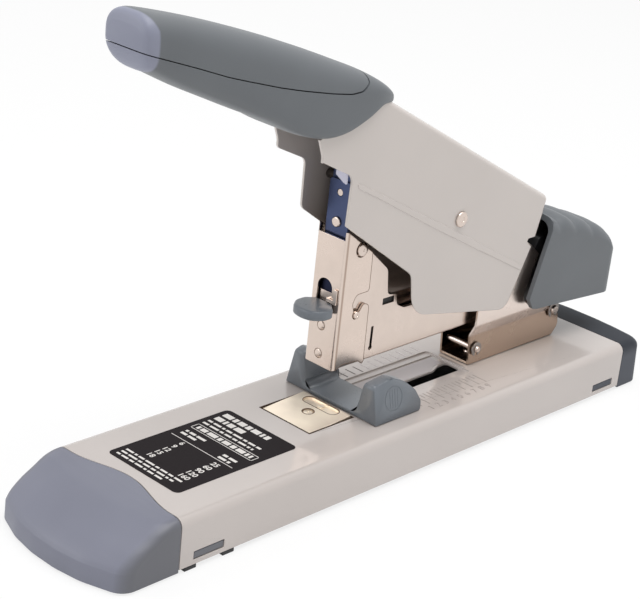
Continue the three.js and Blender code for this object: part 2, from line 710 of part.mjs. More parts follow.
function hingeBracket() {
  const crease = MAGAZINE_PIVOT[1] + 0.3;
  const flared = crease + 6;
  const side = outline([
    [BRACKET_IN, SEAT],
    [BRACKET_OUT, SEAT],
    [BRACKET_OUT, crease],
    [ARM_OUT, flared],
    [ARM_OUT, 120],
    [ARM_IN, 120],
    [ARM_IN, flared + 0.3],
    [BRACKET_IN, crease + 0.3],
  ]);
  const front = CROSS_ROD.y - 4.8;
  const knee = [front, MAGAZINE_PIVOT[1] + 19.3];
  const heel = [front + 34, HANDLE_PIVOT[1] - 24.6];
  const boss = 9;
  const profile = outline([
    [front + 1.4, SEAT - 1],
    [MAGAZINE_PIVOT[0] + 2, SEAT - 1, 5],
    [MAGAZINE_PIVOT[0] + 7, SEAT + 4.4, 4],
    [MAGAZINE_PIVOT[0] + 4.9, MAGAZINE_PIVOT[1]],
    [MAGAZINE_PIVOT[0] - 5, crease],
    [MAGAZINE_PIVOT[0] - 5, flared + 1, 2],
    [front + 40.7, flared + 0.5, 5],
    [front + 33, flared + 6.9, 5],
    [front + 41.2, heel[1] - 5.8, 1.6],
    [...heel, 4],
    tangentPoint(heel, HANDLE_PIVOT, boss, 1),
    HANDLE_PIVOT,
    tangentPoint(knee, HANDLE_PIVOT, boss, -1),
    [...knee, 8],
    [front, crease],
  ]);
  const wide = [-ARM_OUT - 1, ARM_OUT + 1];
  const silhouette = join(alongX(profile, ...wide), rodX(...HANDLE_PIVOT, boss, ...wide, 24));
  const flank = alongY(side, front - 60, MAGAZINE_PIVOT[0] + 12).intersect(silhouette);
  const right = join(flank, rodX(...MAGAZINE_PIVOT, 4.9, BRACKET_IN, BRACKET_OUT, 20));
  const floor = box(
    -BRACKET_OUT,
    BRACKET_OUT,
    front + 1.4,
    MAGAZINE_PIVOT[0] + 3,
    SEAT,
    SEAT + BRACKET_SHEET,
  );
  return cut(
    join(right, right.mirror([1, 0, 0]), floor),
    rodX(...HANDLE_PIVOT, HANDLE_PIN_R + SEAT, ...wide),
    rodX(...MAGAZINE_PIVOT, MAGAZINE_PIN_R + SEAT, ...wide),
    rodX(CROSS_ROD.y, CROSS_ROD.h, CROSS_ROD.r + SEAT, ...wide),
    ...BRACKET_RIVETS.map((y) => rodZ(0, y, RIVET_R + SEAT, -1, 3)),
  );
}

function bracketRivet(y) {
  const head = 2 * SEAT + BRACKET_SHEET;
  const tail = -BASE_SHEET - SEAT;
  return turnedZ(
    [
      [0, tail - 1.2],
      [2.2, tail - 1.2],
      [3, tail],
      [RIVET_R, tail],
      [RIVET_R, head],
      [3.4, head],
      [2.6, head + 1.1],
      [0, head + 1.4],
    ],
    0,
    y,
  );
}

// A pin across the bracket with a head on one side and a groove for a clip on the other.
function clippedPin([y, h], r) {
  const face = BRACKET_OUT + SEAT;
  return turnedX(
    [
      [0, -face - 1.3],
      [r + 0.7, -face - 1.3],
      [r + 1.1, -face - 0.9],
      [r + 1.1, -face],
      [r, -face],
      [r, face - 0.1],
      [r - 0.6, face - 0.1],
      [r - 0.6, face + 1.2],
      [r, face + 1.2],
      [r - 0.4, face + 2],
      [0, face + 2],
    ],
    y,
    h,
  );
}

function clip([y, h], r) {
  const inner = r - 0.6 + SEAT;
  const [x0, x1] = [BRACKET_OUT + 2 * SEAT, BRACKET_OUT + 2 * SEAT + 0.6];
  const ring = rodX(y, h, r + 1.8, x0, x1, 20);
  const mouth = box(x0 - 1, x1 + 1, y - inner * 0.8, y + inner * 0.8, h - r - 4, h);
  const lobes = [-1, 1].map((side) => rodX(y + side * inner, h + 0.4, 0.7, x0 - 1, x1 + 1, 12));
  return cut(ring, rodX(y, h, inner, x0 - 1, x1 + 1), mouth, ...lobes);
}

// The handle turns on a rod riveted over outside both of its side plates.
function handlePivotRod() {
  const head = HANDLE_PIN_R + 1.1;
  const face = FRAME_OUT + SEAT;
  return turnedX(
    [
      [0, -face - 1],
      [head - 0.5, -face - 1],
      [head, -face - 0.5],
      [head, -face],
      [HANDLE_PIN_R, -face],
      [HANDLE_PIN_R, face],
      [head, face],
      [head, face + 0.5],
      [head - 0.5, face + 1],
      [0, face + 1],
    ],
    ...HANDLE_PIVOT,
    16,
  );
}

function liftSpring() {
  const wire = 0.9;
  const low = SEAT + BRACKET_SHEET + SEAT + wire / 2;
  const high = MAGAZINE_BOTTOM - SEAT - wire / 2;
  return coil({
    centre: [0, LIFT_SPRING_Y, low],
    axis: [0, 0, 1],
    length: high - low,
    radius: 3.6,
    wire,
    turns: 6,
  });
}

// Torsion spring round the handle's rod: one leg lies along a bracket arm, the other under the web.
function returnSpring() {
  const [y, h] = HANDLE_PIVOT;
  const half = ARM_IN - 3;
  const slope = Math.atan(FRAME_SLOPE);
  const reach = WEB_DISTANCE - FRAME_SHEET - 1.1;
  return coil({
    centre: [-half, y, h],
    axis: [1, 0, 0],
    length: 2 * half,
    radius: HANDLE_PIN_R + 1.3,
    wire: 1.3,
    turns: 9,
    tails: [
      [
        [-ARM_IN + 1, y + 20, h - 29.6],
        [-ARM_IN + 1.6, y + 11, h - 16],
        [-half - 0.2, y + 4.6, h - 5],
      ],
      [
        [half + 0.2, y + 4.4, h + 5],
        [half, y + reach * Math.sin(slope), h + reach * Math.cos(slope)],
      ],
    ],
  });
}

// ---------------------------------------------------------------- magazine and its head

function magazineChannel() {
  const front = HEAD_FRONT + COVER_SHEET + SEAT;
  const section = outline([
    [-MAGAZINE_OUT, 95],
    [-MAGAZINE_OUT, MAGAZINE_BOTTOM, 1.2],
    [MAGAZINE_OUT, MAGAZINE_BOTTOM, 1.2],
    [MAGAZINE_OUT, 95],
  ]);
  const top = MAGAZINE_BOTTOM + MAGAZINE_HEIGHT;
  const profile = outline([
    [front, HEAD_BOTTOM],
    [front + 3, MAGAZINE_BOTTOM - 1],
    [MAGAZINE_REAR, MAGAZINE_BOTTOM - 1],
    [MAGAZINE_REAR, top, 3],
    [front + 42.8, top, 4],
    [front + 38, top + 2.4, 2],
    [front + 36.6, top + 7.9, 0.6],
    [front + 30.8, top + 8.8, 2.4],
    [front + 29, top + 21, 4],
    [front + 24.6, top + 24.8, 2],
    [front + 17, top + 31.4, 1],
    [front, HEAD_TOP - 1],
  ]);
  const inside = box(
    -MAGAZINE_IN,
    MAGAZINE_IN,
    front - 1,
    MAGAZINE_REAR + 1,
    MAGAZINE_BOTTOM + MAGAZINE_SHEET,
    100,
  );
  const channel = cut(
    alongY(section, front, MAGAZINE_REAR).intersect(alongX(profile, -20, 20)),
    inside,
  );
  // ears reach down behind the floor to the pivot
  const ear = outline([
    [MAGAZINE_REAR - 14, MAGAZINE_BOTTOM + 6],
    [MAGAZINE_REAR - 10, MAGAZINE_BOTTOM + 1],
    [MAGAZINE_PIVOT[0] - 3.4, MAGAZINE_PIVOT[1] - 2.8],
    [MAGAZINE_PIVOT[0] + 4.4, MAGAZINE_PIVOT[1]],
    [MAGAZINE_REAR, MAGAZINE_BOTTOM + 6],
  ]);
  const ears = join(
    bothSides(ear, MAGAZINE_IN, MAGAZINE_OUT),
    rodX(...MAGAZINE_PIVOT, 4.4, MAGAZINE_IN, MAGAZINE_OUT, 20),
    rodX(...MAGAZINE_PIVOT, 4.4, -MAGAZINE_OUT, -MAGAZINE_IN, 20),
  );
  return cut(
    join(channel, ears),
    rodX(...MAGAZINE_PIVOT, MAGAZINE_PIN_R + SEAT, -10, 10),
    ...HEAD_PINS.map(([y, h]) => rodX(y, h, 1.5 + SEAT, -10, 10)),
    // staple exit, lock window and sight slot
    box(-MAGAZINE_IN, MAGAZINE_IN, front - 1, EXIT_REAR, MAGAZINE_BOTTOM - 2, MAGAZINE_BOTTOM + 2),
    box(-10, 10, front + 28, front + 35.5, top + 4.4, top + 7.4),
    box(-10, 10, SIGHT_SLOT_Y - 0.75, SIGHT_SLOT_Y + 0.75, MAGAZINE_BOTTOM + 5, top - 4.5),
    rodX(SIGHT_SLOT_Y - 0.1, MAGAZINE_BOTTOM + 5.4, 1.1, -10, 10, 16),
  );
}

function stapleRail() {
  const rear = MAGAZINE_REAR - 2;
  const [low, high] = [RAIL_BOTTOM + MAGAZINE_SHEET, RAIL_TOP - MAGAZINE_SHEET];
  return cut(
    box(-RAIL_OUT, RAIL_OUT, RAIL_FRONT, rear, RAIL_BOTTOM, RAIL_TOP),
    box(-RAIL_IN, RAIL_IN, RAIL_FRONT - 1, rear + 1, low, high),
    box(-RAIL_SLOT, RAIL_SLOT, RAIL_FRONT + 2.4, rear + 1, high - 1, RAIL_TOP + 1),
  );
}

function headCover() {
  const plan = outline([
    [-COVER_OUT, HEAD_FRONT + HEAD_DEPTH + 3],
    [-COVER_OUT, HEAD_FRONT, 1.6],
    [COVER_OUT, HEAD_FRONT, 1.6],
    [COVER_OUT, HEAD_FRONT + HEAD_DEPTH + 3],
  ]);
  const rear = HEAD_FRONT + HEAD_DEPTH;
  const [upper, lower] = HEAD_PINS;
  const flap = outline([
    [HEAD_FRONT - 1, HEAD_BOTTOM],
    [HEAD_FRONT + 3, HEAD_BOTTOM + 0.8, 1],
    [HEAD_FRONT + 5.4, HEAD_BOTTOM + 2.2, 2],
    [rear - 2.4, HEAD_BOTTOM + 1.5, 3],
    [rear + 0.5, HEAD_BOTTOM - 0.7, 0.6],
    [rear + 1.4, HEAD_BOTTOM + 0.8, 0.4],
    [rear + 0.9, lower[1] + 3.4, 2.8],
    [rear - 2.9, lower[1] + 4.4, 1.5],
    [lower[0] + 1.9, lower[1] + 1.3],
    [lower[0] - 1.3, lower[1] + 1],
    [lower[0] - 2.7, lower[1] + 5.5, 2],
    [lower[0] - 1, lower[1] + 9.4, 3],
    [rear - 0.1, lower[1] + 9.6, 1.4],
    [rear - 0.3, HEAD_TOP - 12.6],
    [rear - 0.6, HEAD_TOP - 8.1, 0.5],
    [HEAD_FRONT + 1.1, HEAD_TOP + 3.7],
    [HEAD_FRONT - 1, HEAD_TOP + 3.7],
  ]);
  const inside = box(-COVER_IN, COVER_IN, HEAD_FRONT + COVER_SHEET, 0, 0, 120);
  const folded = cut(alongZ(plan, 10, 100), inside).intersect(alongX(flap, -20, 20));
  const window = join(
    box(-5, 3.3, HEAD_FRONT - 1, HEAD_FRONT + 2, 44, 57.4),
    rodY(-0.85, 57.4, 4.15, HEAD_FRONT - 1, HEAD_FRONT + 2, 24),
  );
  const dimples = [27, 40].map((h) => rodY(-0.7, h, 1.9, HEAD_FRONT - 0.35, HEAD_FRONT + 0.5));
  return cut(
    join(folded, ...dimples),
    box(-COVER_IN, COVER_IN, HEAD_FRONT - 1, HEAD_FRONT + 3, HEAD_TOP, 100),
    window,
    rodX(...upper, 3.6, -20, 20, 20),
    rodX(...lower, 1.7 + SEAT, -20, 20),
  );
}

// A stub fixed in one side wall of the magazine; its head holds the cover's flap.
function headPin([y, h], headR, side) {
  const root = MAGAZINE_IN + 0.2;
  const pin = turnedX(
    [
      [0, root],
      [1.5, root],
      [1.5, COVER_IN],
      [headR, COVER_IN],
      [headR, COVER_OUT + 0.5],
      [headR - 0.4, COVER_OUT + 0.9],
      [0, COVER_OUT + 0.9],
    ],
    y,
    h,
  );
  return side > 0 ? pin : pin.mirror([1, 0, 0]);
}

// D-shaped thumb pad in front of the head, with a neck through the cover's window.
function thumbLatch() {
  const root = HEAD_FRONT - SEAT;
  const level = (z, inset) => {
    const corners = [
      [-5.8 + inset, root, 1],
      [-8.8 + inset, root - 4.6, 4],
      [-7 + inset, root - 14.4 + inset, 7],
      [7 - inset, root - 14.4 + inset, 7],
      [8.8 - inset, root - 4.6, 4],
      [4.6 - inset, root, 1],
    ];
    return ringAt(outline(corners, 4), z);
  };
  const [low, high] = [47, 51.5];
  const pad = loft([level(low, 0.9), level(low + 0.9, 0), level(high - 0.9, 0), level(high, 0.9)]);
  const neck = box(-3.9, 1, root - 2, HEAD_FRONT + COVER_SHEET, low + 0.6, high - 0.5);
  return join(pad, neck);
}

function latchSlide() {
  const front = HEAD_FRONT + COVER_SHEET + SEAT;
  const outer = HEAD_FRONT - SEAT - 0.6;
  return join(
    box(-4.4, 2.8, front, front + 0.6, 42, 55.5),
    box(1.2, 2.6, outer, front + 0.6, 52, 53.6),
    box(1.2, 7, outer, outer + 0.6, 52, 53.6),
    box(5, 7, outer, outer + 0.6, 51.9, 58.6),
  );
}

// ---------------------------------------------------------------- driver

const BLADE_FRONT = HEAD_FRONT + COVER_SHEET + 1.2;
const CARRIER_FRONT = BLADE_FRONT + DRIVER_THICK + SEAT;
const CARRIER_SHEET = 0.8;
const DRIVER_RIVET_H = DRIVER_TOP - 18.1;

function driverBlade() {
  const half = MAGAZINE_IN - SEAT;
  const blade = outline([
    [-half, DRIVER_BOTTOM],
    [half, DRIVER_BOTTOM],
    [half, DRIVER_TOP, 1.5],
    [-half, DRIVER_TOP, 1.5],
  ]);
  return cut(
    alongY(blade, BLADE_FRONT, BLADE_FRONT + DRIVER_THICK),
    rodY(0, DRIVER_TOP - 5.3, 1.6, BLADE_FRONT - 1, BLADE_FRONT + 3),
    rodY(0, DRIVER_RIVET_H, 1.2 + SEAT, BLADE_FRONT - 1, BLADE_FRONT + 3),
  );
}

// Folded carrier behind the blade; the handle's push bar works in the slot of its ears.
function driverCarrier() {
  const half = MAGAZINE_IN - 2 * SEAT;
  const rear = CARRIER_FRONT + CARRIER_SHEET;
  const plate = box(-half, half, CARRIER_FRONT, rear, DRIVER_TOP - 25, DRIVER_TOP + 3.5);
  const lug = outline([
    [CARRIER_FRONT, PUSH_BAR.h - 6],
    [PUSH_BAR.y + 9.5, PUSH_BAR.h - 6, 3],
    [PUSH_BAR.y + 9.5, PUSH_BAR.h + 5, 3],
    [CARRIER_FRONT, PUSH_BAR.h + 5],
  ]);
  const slot = outline([
    [rear, PUSH_BAR.h - PUSH_BAR.r - 0.8],
    [PUSH_BAR.y + 7.2, PUSH_BAR.h - PUSH_BAR.r - 0.8, 2],
    [PUSH_BAR.y + 7.2, PUSH_BAR.h + PUSH_BAR.r + 0.8, 2],
    [rear, PUSH_BAR.h + PUSH_BAR.r + 0.8],
  ]);
  return cut(
    join(plate, bothSides(lug, half - 1, half)),
    alongX(slot, -10, 10),
    rodY(0, DRIVER_RIVET_H, 1.2 + SEAT, CARRIER_FRONT - 1, rear + 1),
    rodY(0, DRIVER_TOP - 5.3, 1.6, CARRIER_FRONT - 1, rear + 1),
  );
}

function driverRivet() {
  const tail = CARRIER_FRONT + CARRIER_SHEET + SEAT;
  return join(
    rodY(0, DRIVER_RIVET_H, 2.2, BLADE_FRONT - SEAT - 0.55, BLADE_FRONT - SEAT),
    rodY(0, DRIVER_RIVET_H, 1.2, BLADE_FRONT - SEAT - 0.2, tail + 0.2),
    rodY(0, DRIVER_RIVET_H, 2, tail, tail + 0.7),
  );
}

// ---------------------------------------------------------------- loader, pusher and knob

const LUG_H = [ROD_H - 4, RAIL_TOP - MAGAZINE_SHEET - 0.8];

function staplePusher() {
  const front = RAIL_FRONT - SEAT;
  const rear = front + PUSHER_LENGTH;
  const outer = MAGAZINE_IN - SEAT;
  const saddle = cut(
    box(-outer, outer, front, rear, RAIL_TOP - 10, RAIL_TOP + 10.6),
    box(-RAIL_OUT - SEAT, RAIL_OUT + SEAT, front - 1, rear + 1, RAIL_TOP - 11, RAIL_TOP + SEAT),
  );
  const web = box(
    -RAIL_SLOT + SEAT,
    RAIL_SLOT - SEAT,
    front + 4,
    rear - 2,
    LUG_H[0] + 1,
    RAIL_TOP + 1,
  );
  const lug = box(-RAIL_IN + 0.4, RAIL_IN - 0.4, front + 4, rear - 2, ...LUG_H);
  return cut(join(saddle, web, lug), rodY(0, ROD_H, PUSHER_ROD.r + SEAT, front, rear));
}

const pusherRod = () => rodY(0, ROD_H, PUSHER_ROD.r, RAIL_FRONT + 4, CORE_WALL + 10);

function pusherSpring() {
  const wire = 0.9;
  const front = RAIL_FRONT - SEAT + PUSHER_LENGTH - 2 + SEAT + wire / 2;
  const rear = CORE_WALL - SEAT - wire / 2;
  return coil({
    centre: [0, front, ROD_H],
    axis: [0, 1, 0],
    length: rear - front,
    radius: 2.9,
    wire,
    turns: 16,
  });
}

// Inverted trough that straddles the magazine, solid at the rear where the rod and knob are fixed.
function knobCore() {
  const front = CORE_FRONT;
  const rear = KNOB_REAR - KNOB_WALL;
  const profile = outline([
    [front, MAGAZINE_BOTTOM + 3.4],
    [rear - 1.2, MAGAZINE_BOTTOM + 0.6],
    [rear - 1.2, 29, 3],
    [rear - 3.6, 42.4 - KNOB_WALL, 4],
    [rear - 9.6, 48.8 - KNOB_WALL, 4],
    [rear - 17.6, 54 - KNOB_WALL, 4],
    [rear - 27.6, 57.4 - KNOB_WALL, 6],
    [front + 10, 58.8 - KNOB_WALL, 3],
    [front + 7.2, 53.9 - KNOB_WALL],
    [front, 28],
  ]);
  return cut(
    alongX(profile, -CORE_OUT, CORE_OUT),
    box(-CORE_IN, CORE_IN, front - 1, CORE_WALL, 0, 52.8 - KNOB_WALL),
    rodY(0, ROD_H, PUSHER_ROD.r + SEAT, CORE_WALL - 1, CORE_WALL + 10 + SEAT),
    rodY(0, KNOB_SCREW_H, 1.4 + SEAT, KNOB_REAR - 14 - SEAT, KNOB_REAR),
  );
}

// The knob's outer form with a rounded roof, for a given half width and edge radius.
function knobForm(half, edge) {
  const side = outline([
    [CORE_FRONT - 2, 29.4],
    [CORE_FRONT + 1.5, 24, 1.5],
    [CORE_FRONT + 5.1, 23.1],
    [KNOB_REAR - 45, 22],
    [KNOB_REAR, 18.7, 2],
    [KNOB_REAR, 32, 8],
    [KNOB_REAR - 2.5, 41, 8],
    [KNOB_REAR - 7, 49.4, 8],
    [KNOB_REAR - 15, 55.8, 12],
    [KNOB_REAR - 33, 62.4, 16],
    [KNOB_REAR - 55, 67.8, 20],
    [CORE_FRONT + 8.4, 69.2, 3],
  ]);
  const plan = outline([
    [-half, CORE_FRONT - 10],
    [half, CORE_FRONT - 10],
    [half, KNOB_REAR, 9],
    [-half, KNOB_REAR, 9],
  ]);
  const roof = [
    [0, 38],
    [2.5, 41],
    [7, 49],
    [11, 52.6],
    [15, 55.4],
    [22, 58.8],
    [33, 62.2],
    [44, 65.4],
    [55, 67.7],
    [64, 68.9],
    [80, 69.4],
  ].map(([back, top]) => {
    const corners = [
      [-half, 0],
      [half, 0],
      [half, top - 1.4, edge],
      [half / 3, top],
      [-half / 3, top],
      [-half, top - 1.4, edge],
    ];
    return ringAt(outline(corners, 4), 0).map((p) => new THREE.Vector3(p.x, KNOB_REAR - back, p.y));
  });
  return alongX(side, -half, half).intersect(alongZ(plan, 0, 80)).intersect(loft(roof));
}

function rearKnobHood() {
  const hollow = knobForm(HOOD_IN, 6).translate([0, -KNOB_WALL, -KNOB_WALL]);
  const ribs = [0, 1, 2, 3].map((i) => {
    const y = KNOB_REAR - 14.5 - 8.8 * i;
    const top = 57.6 + 2.6 * i;
    return rodX(y, top + 3.2, 4.6, -HOOD_OUT - 1, HOOD_OUT + 1, 20);
  });
  // the handle's side plates swing through two slots in the roof
  const slots = [-1, 1].map((side) => {
    const edges = [side * (FRAME_IN - 0.4), side * (FRAME_OUT + 0.6)].sort((a, b) => a - b);
    return box(...edges, CORE_FRONT - 10, CORE_FRONT + 17, 50, 80);
  });
  const screw = rodY(0, KNOB_SCREW_H, 1.4 + SEAT, KNOB_REAR - 5, KNOB_REAR + 1);
  return cut(knobForm(HOOD_OUT, 8), hollow, ...ribs, ...slots, screw);
}

function knobScrew() {
  return join(
    rodY(0, KNOB_SCREW_H, 1.4, KNOB_REAR - 14, KNOB_REAR + SEAT + 0.2),
    cut(
      rodY(0, KNOB_SCREW_H, 3, KNOB_REAR + SEAT, KNOB_REAR + SEAT + 1.6),
      box(-2.2, 2.2, KNOB_REAR + SEAT + 0.8, KNOB_REAR + 3, KNOB_SCREW_H - 0.4, KNOB_SCREW_H + 0.4),
    ),
  );
}

// ---------------------------------------------------------------- handle

// A bar under the frame's sloping top line, set below it by drop, with rounded upper edges.
function frameBar(half, drop, edge, rearY, frontY) {
  const section = outline([
    [-half, -140],
    [half, -140],
    [half, -drop, edge],
    [-half, -drop, edge],
  ]);
  return alongSlope(section, [rearY, frameTop(rearY)], [frontY, frameTop(frontY)]);
}

// The handle's tongue, a bar under its own top line, with room to spare on every side and beyond
// its ends.
function tongueBar(room, bottom, beyond) {
  const spot = (y) => [y, tongueTop(y)];
  const section = roundBox(2 * (TONGUE.half + room), room, bottom, 2 + room / 2);
  return alongSlope(section, spot(TONGUE.start + beyond), spot(TONGUE.end - beyond));
}

function handleFrame() {
  const [py, ph] = HANDLE_PIVOT;
  const rearTop = [py + 62.8, frameTop(py + 62.8)];
  const frontTop = [FRAME_NOSE_Y, frameTop(FRAME_NOSE_Y)];
  const side = outline([
    [FRAME_NOSE_Y - 39, frontTop[1] - 11.3],
    [FRAME_NOSE_Y - 36, frontTop[1] - 18.8, 6],
    [FRAME_NOSE_Y - 36.2, frontTop[1] - 22, 3.5],
    [FRAME_NOSE_Y - 19, frontTop[1] - 29.6, 4],
    [FRAME_NOSE_Y - 18.6, frontTop[1] - 51, 4],
    [py - 29.3, ph - 20.1, 6],
    [py - 25.8, ph - 40.1, 14],
    [py + 42.4, ph - 53.1, 7],
    [py + 57.2, ph - 21.3, 2],
    [rearTop[0] + 0.6, rearTop[1] + 1, 4],
    frontTop,
  ]);
  const channel = cut(
    frameBar(FRAME_OUT, 0, 2.8, py + 70, FRAME_NOSE_Y - 45),
    frameBar(FRAME_IN, FRAME_SHEET, 1.6, py + 80, FRAME_NOSE_Y - 60),
  ).intersect(alongX(side, -20, 20));
  // a folded tongue runs on inside the grip
  const tongue = cut(tongueBar(0, -10, 0), tongueBar(-FRAME_SHEET, -20, 5));
  // a long bead pressed outwards along both sides
  const bead = outline([
    [py - 71.1, ph + 29.2, 1],
    [py - 14.9, ph + 1.2, 20],
    [py + 51.4, ph - 32.7, 1],
    [py + 49.9, ph - 34.8, 1],
    [py - 14.1, ph - 2.7, 20],
    [py - 56.6, ph + 19.8, 10],
    [py - 70.1, ph + 26.6, 1],
  ]);
  const beads = bothSides(bead, FRAME_OUT - 0.2, FRAME_OUT + 0.4);
  return cut(
    join(channel, tongue, beads),
    rodX(py, ph, HANDLE_PIN_R + SEAT, -20, 20, 20),
    rodX(PUSH_BAR.y, PUSH_BAR.h, PUSH_BAR.r + SEAT, -FRAME_IN - 0.8, FRAME_IN + 0.8),
    ...GRIP_SCREWS.map((y) => rodZ(0, y, 2.2, 100, 190)),
  );
}

const pushBar = () => rodX(PUSH_BAR.y, PUSH_BAR.h, PUSH_BAR.r, -FRAME_IN - 0.5, FRAME_IN + 0.5);

// Stations [y, top, bottom, half width] of the grip from its front end to its rear end.
const GRIP_STATIONS = [
  [-147.2, 184, 173.4, 9.6],
  [-146, 187.4, 170, 11.6],
  [-143.4, 188.6, 167.2, 12.5],
  [-138, 187.8, 165, 12.9],
  [-123, 184.2, 157.8, 13.6],
  [-109, 180.6, 151.8, 14.4],
  [-97, 177.2, 146.9, 15.1],
  [-83, 173, 141.4, 15.9],
  [-69, 168.5, 135.6, 16.6],
  [-55, 163.7, 133.2, 17],
  [-43, 159.3, 134.4, 17],
  [-31, 154.8, 138.4, 16.8],
  [-22, 150.6, 140, 15.6],
  [-14.5, 146.2, 138.6, 12.6],
  [-9.5, 142.4, 137.6, 8.4],
  [-7.6, 140.6, 138.2, 5],
];

const gripForm = () => moulding(GRIP_STATIONS, { steps: 18, sides: 18, power: 2.9 });

// Everything above the parting line between the grip's lid and its lower shell.
function aboveSeam() {
  const seam = [
    [-160, 178.6],
    [-148, 175.5],
    [-138.6, 172.6],
    [-124, 168],
    [-109, 163],
    [-98.8, 160.2],
    [-82.8, 156],
    [-72, 153.6],
    [-55, 150.3],
    [-44, 148.6],
    [-37.8, 148.8],
    [-33.2, 151.4, 2],
    [-29, 160],
    [-29, 220],
    [-160, 220],
  ];
  return alongX(outline(seam), -30, 30);
}

// The hollow stops short of both ends, and gives way to the frame where that enters the grip.
function gripHollow() {
  const inner = moulding(GRIP_STATIONS.slice(2, -3), {
    steps: 10,
    sides: 12,
    power: 2.9,
    inset: GRIP_WALL,
  });
  const noseTop = frameTop(FRAME_NOSE_Y);
  const around = outline([
    [FRAME_NOSE_Y - 40, 100],
    [FRAME_NOSE_Y + 57, 100],
    [FRAME_NOSE_Y + 57, noseTop + 2 * RUN],
    [FRAME_NOSE_Y + 1, noseTop + 2 * RUN],
    [FRAME_NOSE_Y - 40, noseTop - 11.6 + 2 * RUN],
  ]);
  const clear = frameBar(FRAME_OUT + RUN, -RUN, 3.2, 20, FRAME_NOSE_Y - 60);
  return join(inner, clear.intersect(alongX(around, -30, 30)), tongueBar(RUN, -10 - RUN, RUN));
}

function gripUpper() {
  const shift = GRIP_SEAM / 2;
  const form = gripForm();
  const lid = cut(form, gripHollow()).intersect(aboveSeam().translate([0, -shift, shift]));
  const bosses = GRIP_SCREWS.map((y) =>
    rodZ(0, y, 3.2, tongueTop(y) + 1.2, 200).intersect(form),
  );
  const pilots = GRIP_SCREWS.map((y) => rodZ(0, y, 1.3 + SEAT, 100, tongueTop(y) + 9));
  return cut(join(lid, ...bosses), ...pilots);
}

function gripLower() {
  const shift = GRIP_SEAM / 2;
  const form = gripForm();
  const shell = cut(form, gripHollow(), aboveSeam().translate([0, shift, -shift]));
  const bosses = GRIP_SCREWS.map((y) =>
    rodZ(0, y, 4.6, 100, screwSeat(y) + GRIP_WALL).intersect(form),
  );
  const holes = GRIP_SCREWS.map((y) => rodZ(0, y, 1.3 + SEAT, 100, screwSeat(y) + 8));
  const sinks = GRIP_SCREWS.map((y) => rodZ(0, y, 2.6 + SEAT, 100, screwSeat(y)));
  return cut(join(shell, ...bosses), ...holes, ...sinks);
}

function gripScrew(y) {
  const shoulder = screwSeat(y) - SEAT;
  return turnedZ(
    [
      [0, shoulder - 1.2],
      [1.8, shoulder - 1.2],
      [2.6, shoulder - 0.6],
      [2.6, shoulder],
      [1.3, shoulder],
      [1.3, tongueTop(y) + 8],
      [0, tongueTop(y) + 8.6],
    ],
    0,
    y,
  );
}

// Where a screw's head stops in its boss, sunk below the sloping underside.
const screwSeat = (y) => gripFloor(y - 3) + 1.8;

// The underside of the grip on its middle line, between the stations.
function gripFloor(y) {
  const i = GRIP_STATIONS.findIndex((station) => station[0] > y);
  const [a, b] = [GRIP_STATIONS[i - 1], GRIP_STATIONS[i]];
  return a[2] + ((b[2] - a[2]) * (y - a[0])) / (b[0] - a[0]);
}

// ---------------------------------------------------------------- assembly

const stapler = new THREE.Group();
stapler.name = "stapler";

// Everything above the deck is drawn with its heights measured from the deck.
const aboveDeck = new THREE.Group();
aboveDeck.name = "above_deck";
aboveDeck.position.z = DECK;
stapler.add(aboveDeck);

// A group for one moving body, standing at its pivot or at its guide.
function movingGroup(name, [y, h]) {
  const group = new THREE.Group();
  group.name = name;
  group.position.set(0, y, h);
  aboveDeck.add(group);
  return group;
}

function place(group, name, material, body) {
  const mesh = new THREE.Mesh(geometryOf(body), material());
  mesh.name = name;
  if (group.parent === aboveDeck) {
    mesh.position.copy(group.position).negate();
  }
  group.add(mesh);
}

place(stapler, "base_channel", PAINTED_STEEL, baseChannel());
place(stapler, "front_cap", CAP_PLASTIC, frontCap());
place(stapler, "rear_cap", CAP_PLASTIC, rearCap());
place(stapler, "bottom_plate", BLACK_PLASTIC, bottomPlate());
footSpots().forEach(([x, y], i) => place(stapler, `foot_${i + 1}`, RUBBER, foot(x, y)));
place(stapler, "anvil_plate", HARD_STEEL, anvilPlate());
place(stapler, "anvil_rivet", HARD_STEEL, anvilRivet());

place(aboveDeck, "hinge_bracket", NICKEL, hingeBracket());
BRACKET_RIVETS.forEach((y, i) => place(aboveDeck, `bracket_rivet_${i + 1}`, NICKEL, bracketRivet(y)));
place(aboveDeck, "front_cross_rod", NICKEL, clippedPin([CROSS_ROD.y, CROSS_ROD.h], CROSS_ROD.r));
place(aboveDeck, "front_rod_clip", HARD_STEEL, clip([CROSS_ROD.y, CROSS_ROD.h], CROSS_ROD.r));
place(aboveDeck, "magazine_pivot_pin", NICKEL, clippedPin(MAGAZINE_PIVOT, MAGAZINE_PIN_R));
place(aboveDeck, "pivot_pin_clip", HARD_STEEL, clip(MAGAZINE_PIVOT, MAGAZINE_PIN_R));
place(aboveDeck, "handle_pivot_rod", NICKEL, handlePivotRod());
place(aboveDeck, "lift_spring", SPRING_STEEL, liftSpring());
place(aboveDeck, "return_spring", SPRING_STEEL, returnSpring());

const guide = movingGroup("guide_slide", [GUIDE.front, 0]);
place(guide, "paper_guide", GREY_PLASTIC, paperGuide());
place(guide, "guide_retainer", BLACK_PLASTIC, guideRetainer());

